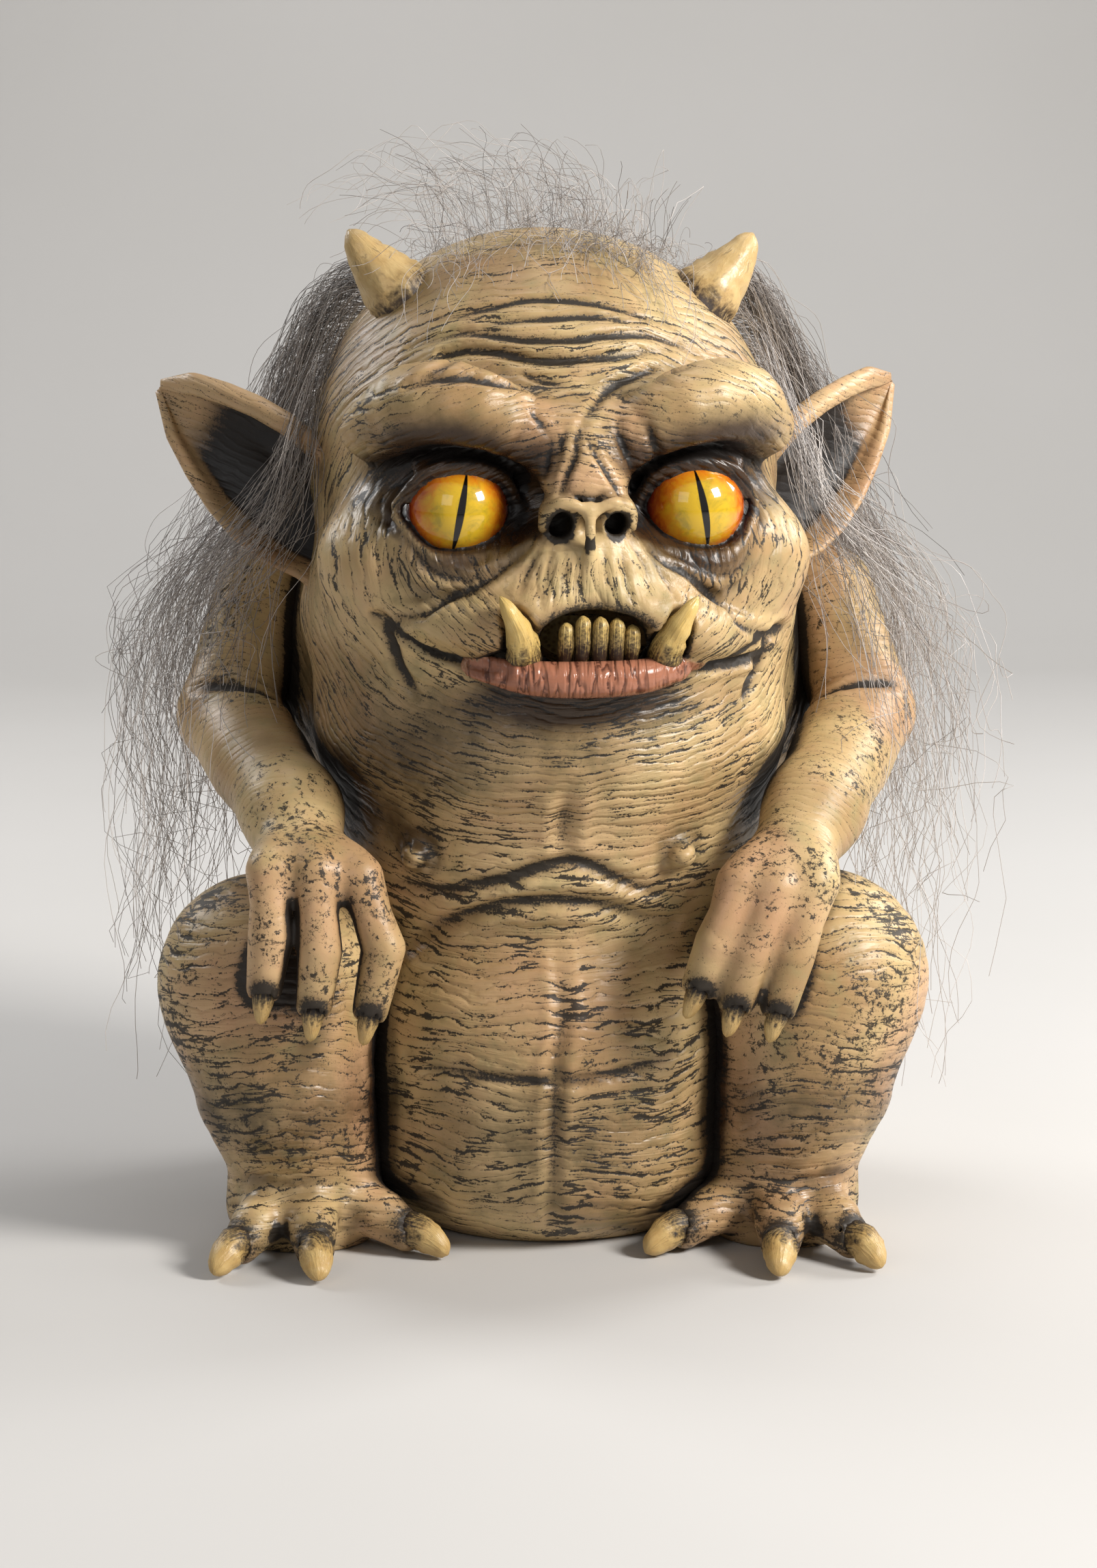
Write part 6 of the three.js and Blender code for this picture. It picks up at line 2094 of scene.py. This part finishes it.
    def build(self, material: Material) -> None:
        """Grows the four hanks."""
        for side in Side:
            look = {"spread": 8.0, "frizz": 26.0, "curl": 5.0, "kink": 27.0, "points": 44, "radius": 0.11}
            hank = Hank(f"{side.label}_hair", self.STRANDS[side], seed=3 + side.value, **look)
            hank.build(self.rear(side) + self.temple(side), material)
        look = {"spread": 7.0, "frizz": 12.0, "curl": 6.0, "kink": 52.0, "points": 26, "radius": 0.085}
        Hank("crown_hair", 6, seed=8, **look).build(self.crown(), material)
        look = {"spread": 8.0, "frizz": 20.0, "curl": 4.0, "kink": 27.0, "points": 20, "radius": 0.12}
        Hank("back_hair", 20, seed=12, **look).build(self.back(), material)


# Inside, and the studio


@dataclass(frozen=True)
class Filling:
    """The foam core and the base plug, which stay as the frame has them."""

    def build(self) -> None:
        """Gives both their finishes."""
        foam = CellFinish("cut_foam", rgb(214, 194, 140), rgb(168, 142, 88), 0.7)
        plug = CellFinish("dark_rubber", rgb(52, 47, 43), rgb(28, 25, 22), 0.35, 0.75)
        for node, finish in (("foam_core", foam), ("base_plug", plug)):
            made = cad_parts[node]
            made.data.materials.clear()
            made.data.materials.append(finish.material())
            LOG.info("%s: kept from the frame", node)


@dataclass(frozen=True)
class Studio:
    """A pale floor, soft light and a camera where the photographer stood."""

    azimuth: float = -2.0
    elevation: float = 10.0
    distance: float = 1.2
    aim: Point = (0.0, 0.0, 0.1385)
    lens: float = 85.0
    world: float = 0.1
    seen_world: float = 0.32

    def floor(self) -> None:
        """A pale sweep that rises behind the figure."""
        rows = [(-2.5, 0.0), (1.2, 0.0)]
        for turn in np.linspace(0.15, math.pi / 2, 10):
            rows.append((1.2 + 0.6 * math.sin(turn), 0.6 - 0.6 * math.cos(turn)))
        rows.append((1.8, 3.0))
        at = [(1000 * x, 1000 * y, 1000 * z) for y, z in rows for x in (-4.0, 4.0)]
        faces = [[2 * i, 2 * i + 1, 2 * i + 3, 2 * i + 2] for i in range(len(rows) - 1)]
        made = piece("studio_floor", np.array(at), faces)
        material, w, shader = new_material("pale_floor")
        tone = w.noise(w.place(), 0.004, 3.0)
        w.feed(shader, {"Base Color": w.mix(tone, rgb(192, 190, 187), rgb(198, 196, 194)), "Roughness": 0.85})
        made.data.materials.append(material)

    def lamp(
        self,
        name: str,
        place: Point,
        size: float,
        power: float,
        colour: Point = (1, 1, 1),
        aim: Point = (0, 0, 0.17),
    ) -> None:
        """A square soft lamp, aimed at the figure unless told otherwise."""
        data = bpy.data.lights.new(name, "AREA")
        data.size, data.energy, data.color = size, power, colour
        made = bpy.data.objects.new(name, data)
        made.location = place
        made.rotation_euler = (Vector(aim) - Vector(place)).to_track_quat("-Z", "Y").to_euler()
        bpy.context.scene.collection.objects.link(made)

    def lights(self) -> None:
        """A key from the figure's front left, a fill, two rims, a backdrop lamp and an even surround."""
        self.lamp("key", (1.1, -0.75, 0.95), 0.45, 34.0, (1.0, 0.97, 0.93))
        self.lamp("fill", (-0.6, -1.25, 0.85), 0.6, 2.2, (0.97, 0.98, 1.0))
        self.lamp("rim_left", (-1.0, 0.7, 0.9), 0.5, 8.0)
        self.lamp("rim_right", (1.1, 0.5, 0.8), 0.4, 10.0)
        self.lamp("backdrop", (0.0, 0.5, 2.2), 1.0, 14.0, (1, 1, 1), (0.0, 1.9, 0.7))
        world = bpy.data.worlds.new("surround")
        bpy.context.scene.world = world
        world.use_nodes = True
        w = Wiring(world.node_tree)
        rays = w.node("ShaderNodeLightPath").outputs
        seen = w.math("ADD", rays["Is Camera Ray"], rays["Is Glossy Ray"])
        seen = w.math("ADD", seen, rays["Is Transmission Ray"], clamp=True)
        level = w.times_plus(seen, self.seen_world, self.world)
        w.feed(world.node_tree.nodes["Background"], {"Color": (1.0, 1.0, 1.0, 1.0), "Strength": level})

    def camera(self) -> None:
        """A camera at the photograph's viewing angle."""
        data = bpy.data.cameras.new("camera")
        data.lens, data.sensor_width, data.clip_start = self.lens, 36.0, 0.05
        made = bpy.data.objects.new("camera", data)
        a, e = math.radians(self.azimuth), math.radians(self.elevation)
        back = Vector((math.sin(a) * math.cos(e), -math.cos(a) * math.cos(e), math.sin(e)))
        made.location = Vector(self.aim) + self.distance * back
        made.rotation_euler = (-back).to_track_quat("-Z", "Y").to_euler()
        bpy.context.scene.collection.objects.link(made)
        bpy.context.scene.camera = made

    def build(self) -> None:
        """Sets the stage."""
        self.floor()
        self.lights()
        self.camera()
        bpy.context.scene.view_settings.view_transform = "Standard"


def main() -> None:
    """Builds the sub-assemblies in order."""
    logging.basicConfig(level=logging.INFO, format="%(message)s")
    Studio().build()
    latex = LatexFinish().material()
    legs = LegSizes()
    arms = ArmSizes(legs)
    skin = Skin()
    body = skin.clay()
    kinds = {"leg": legs, "arm": arms}
    limbs = {(kind, side): sizes.limb(side) for kind, sizes in kinds.items() for side in Side}
    skin.build(latex, list(limbs.values()))
    for (kind, side), limb in limbs.items():
        others = [other for key, other in limbs.items() if key != (kind, side) and key[1] is side]
        line, depth = (1.0, 0.8) if kind == "leg" else (0.3, 0.3)
        LimbCasting(limb, f"{side.label}_{kind}", line, depth, 17 + side.value).build(latex, body, others)
    Ears().build(latex)
    Eyes().build(EyeFinish().material())
    horn = IvoryFinish("stained_horn", grain=0.5)
    tooth = IvoryFinish("yellow_tooth", rgb(226, 200, 130), rgb(192, 152, 74), rgb(40, 23, 9), roughness=0.28)
    claw = IvoryFinish("stained_claw", rgb(206, 180, 122), rgb(170, 130, 70), rgb(30, 20, 12))
    Horns().build(horn.material())
    Mouthful().build(tooth.material())
    Claws(arms, legs).build(claw.material())
    Coiffure().build(FibreFinish().material())
    Filling().build()


if __name__ == "__main__":
    main()
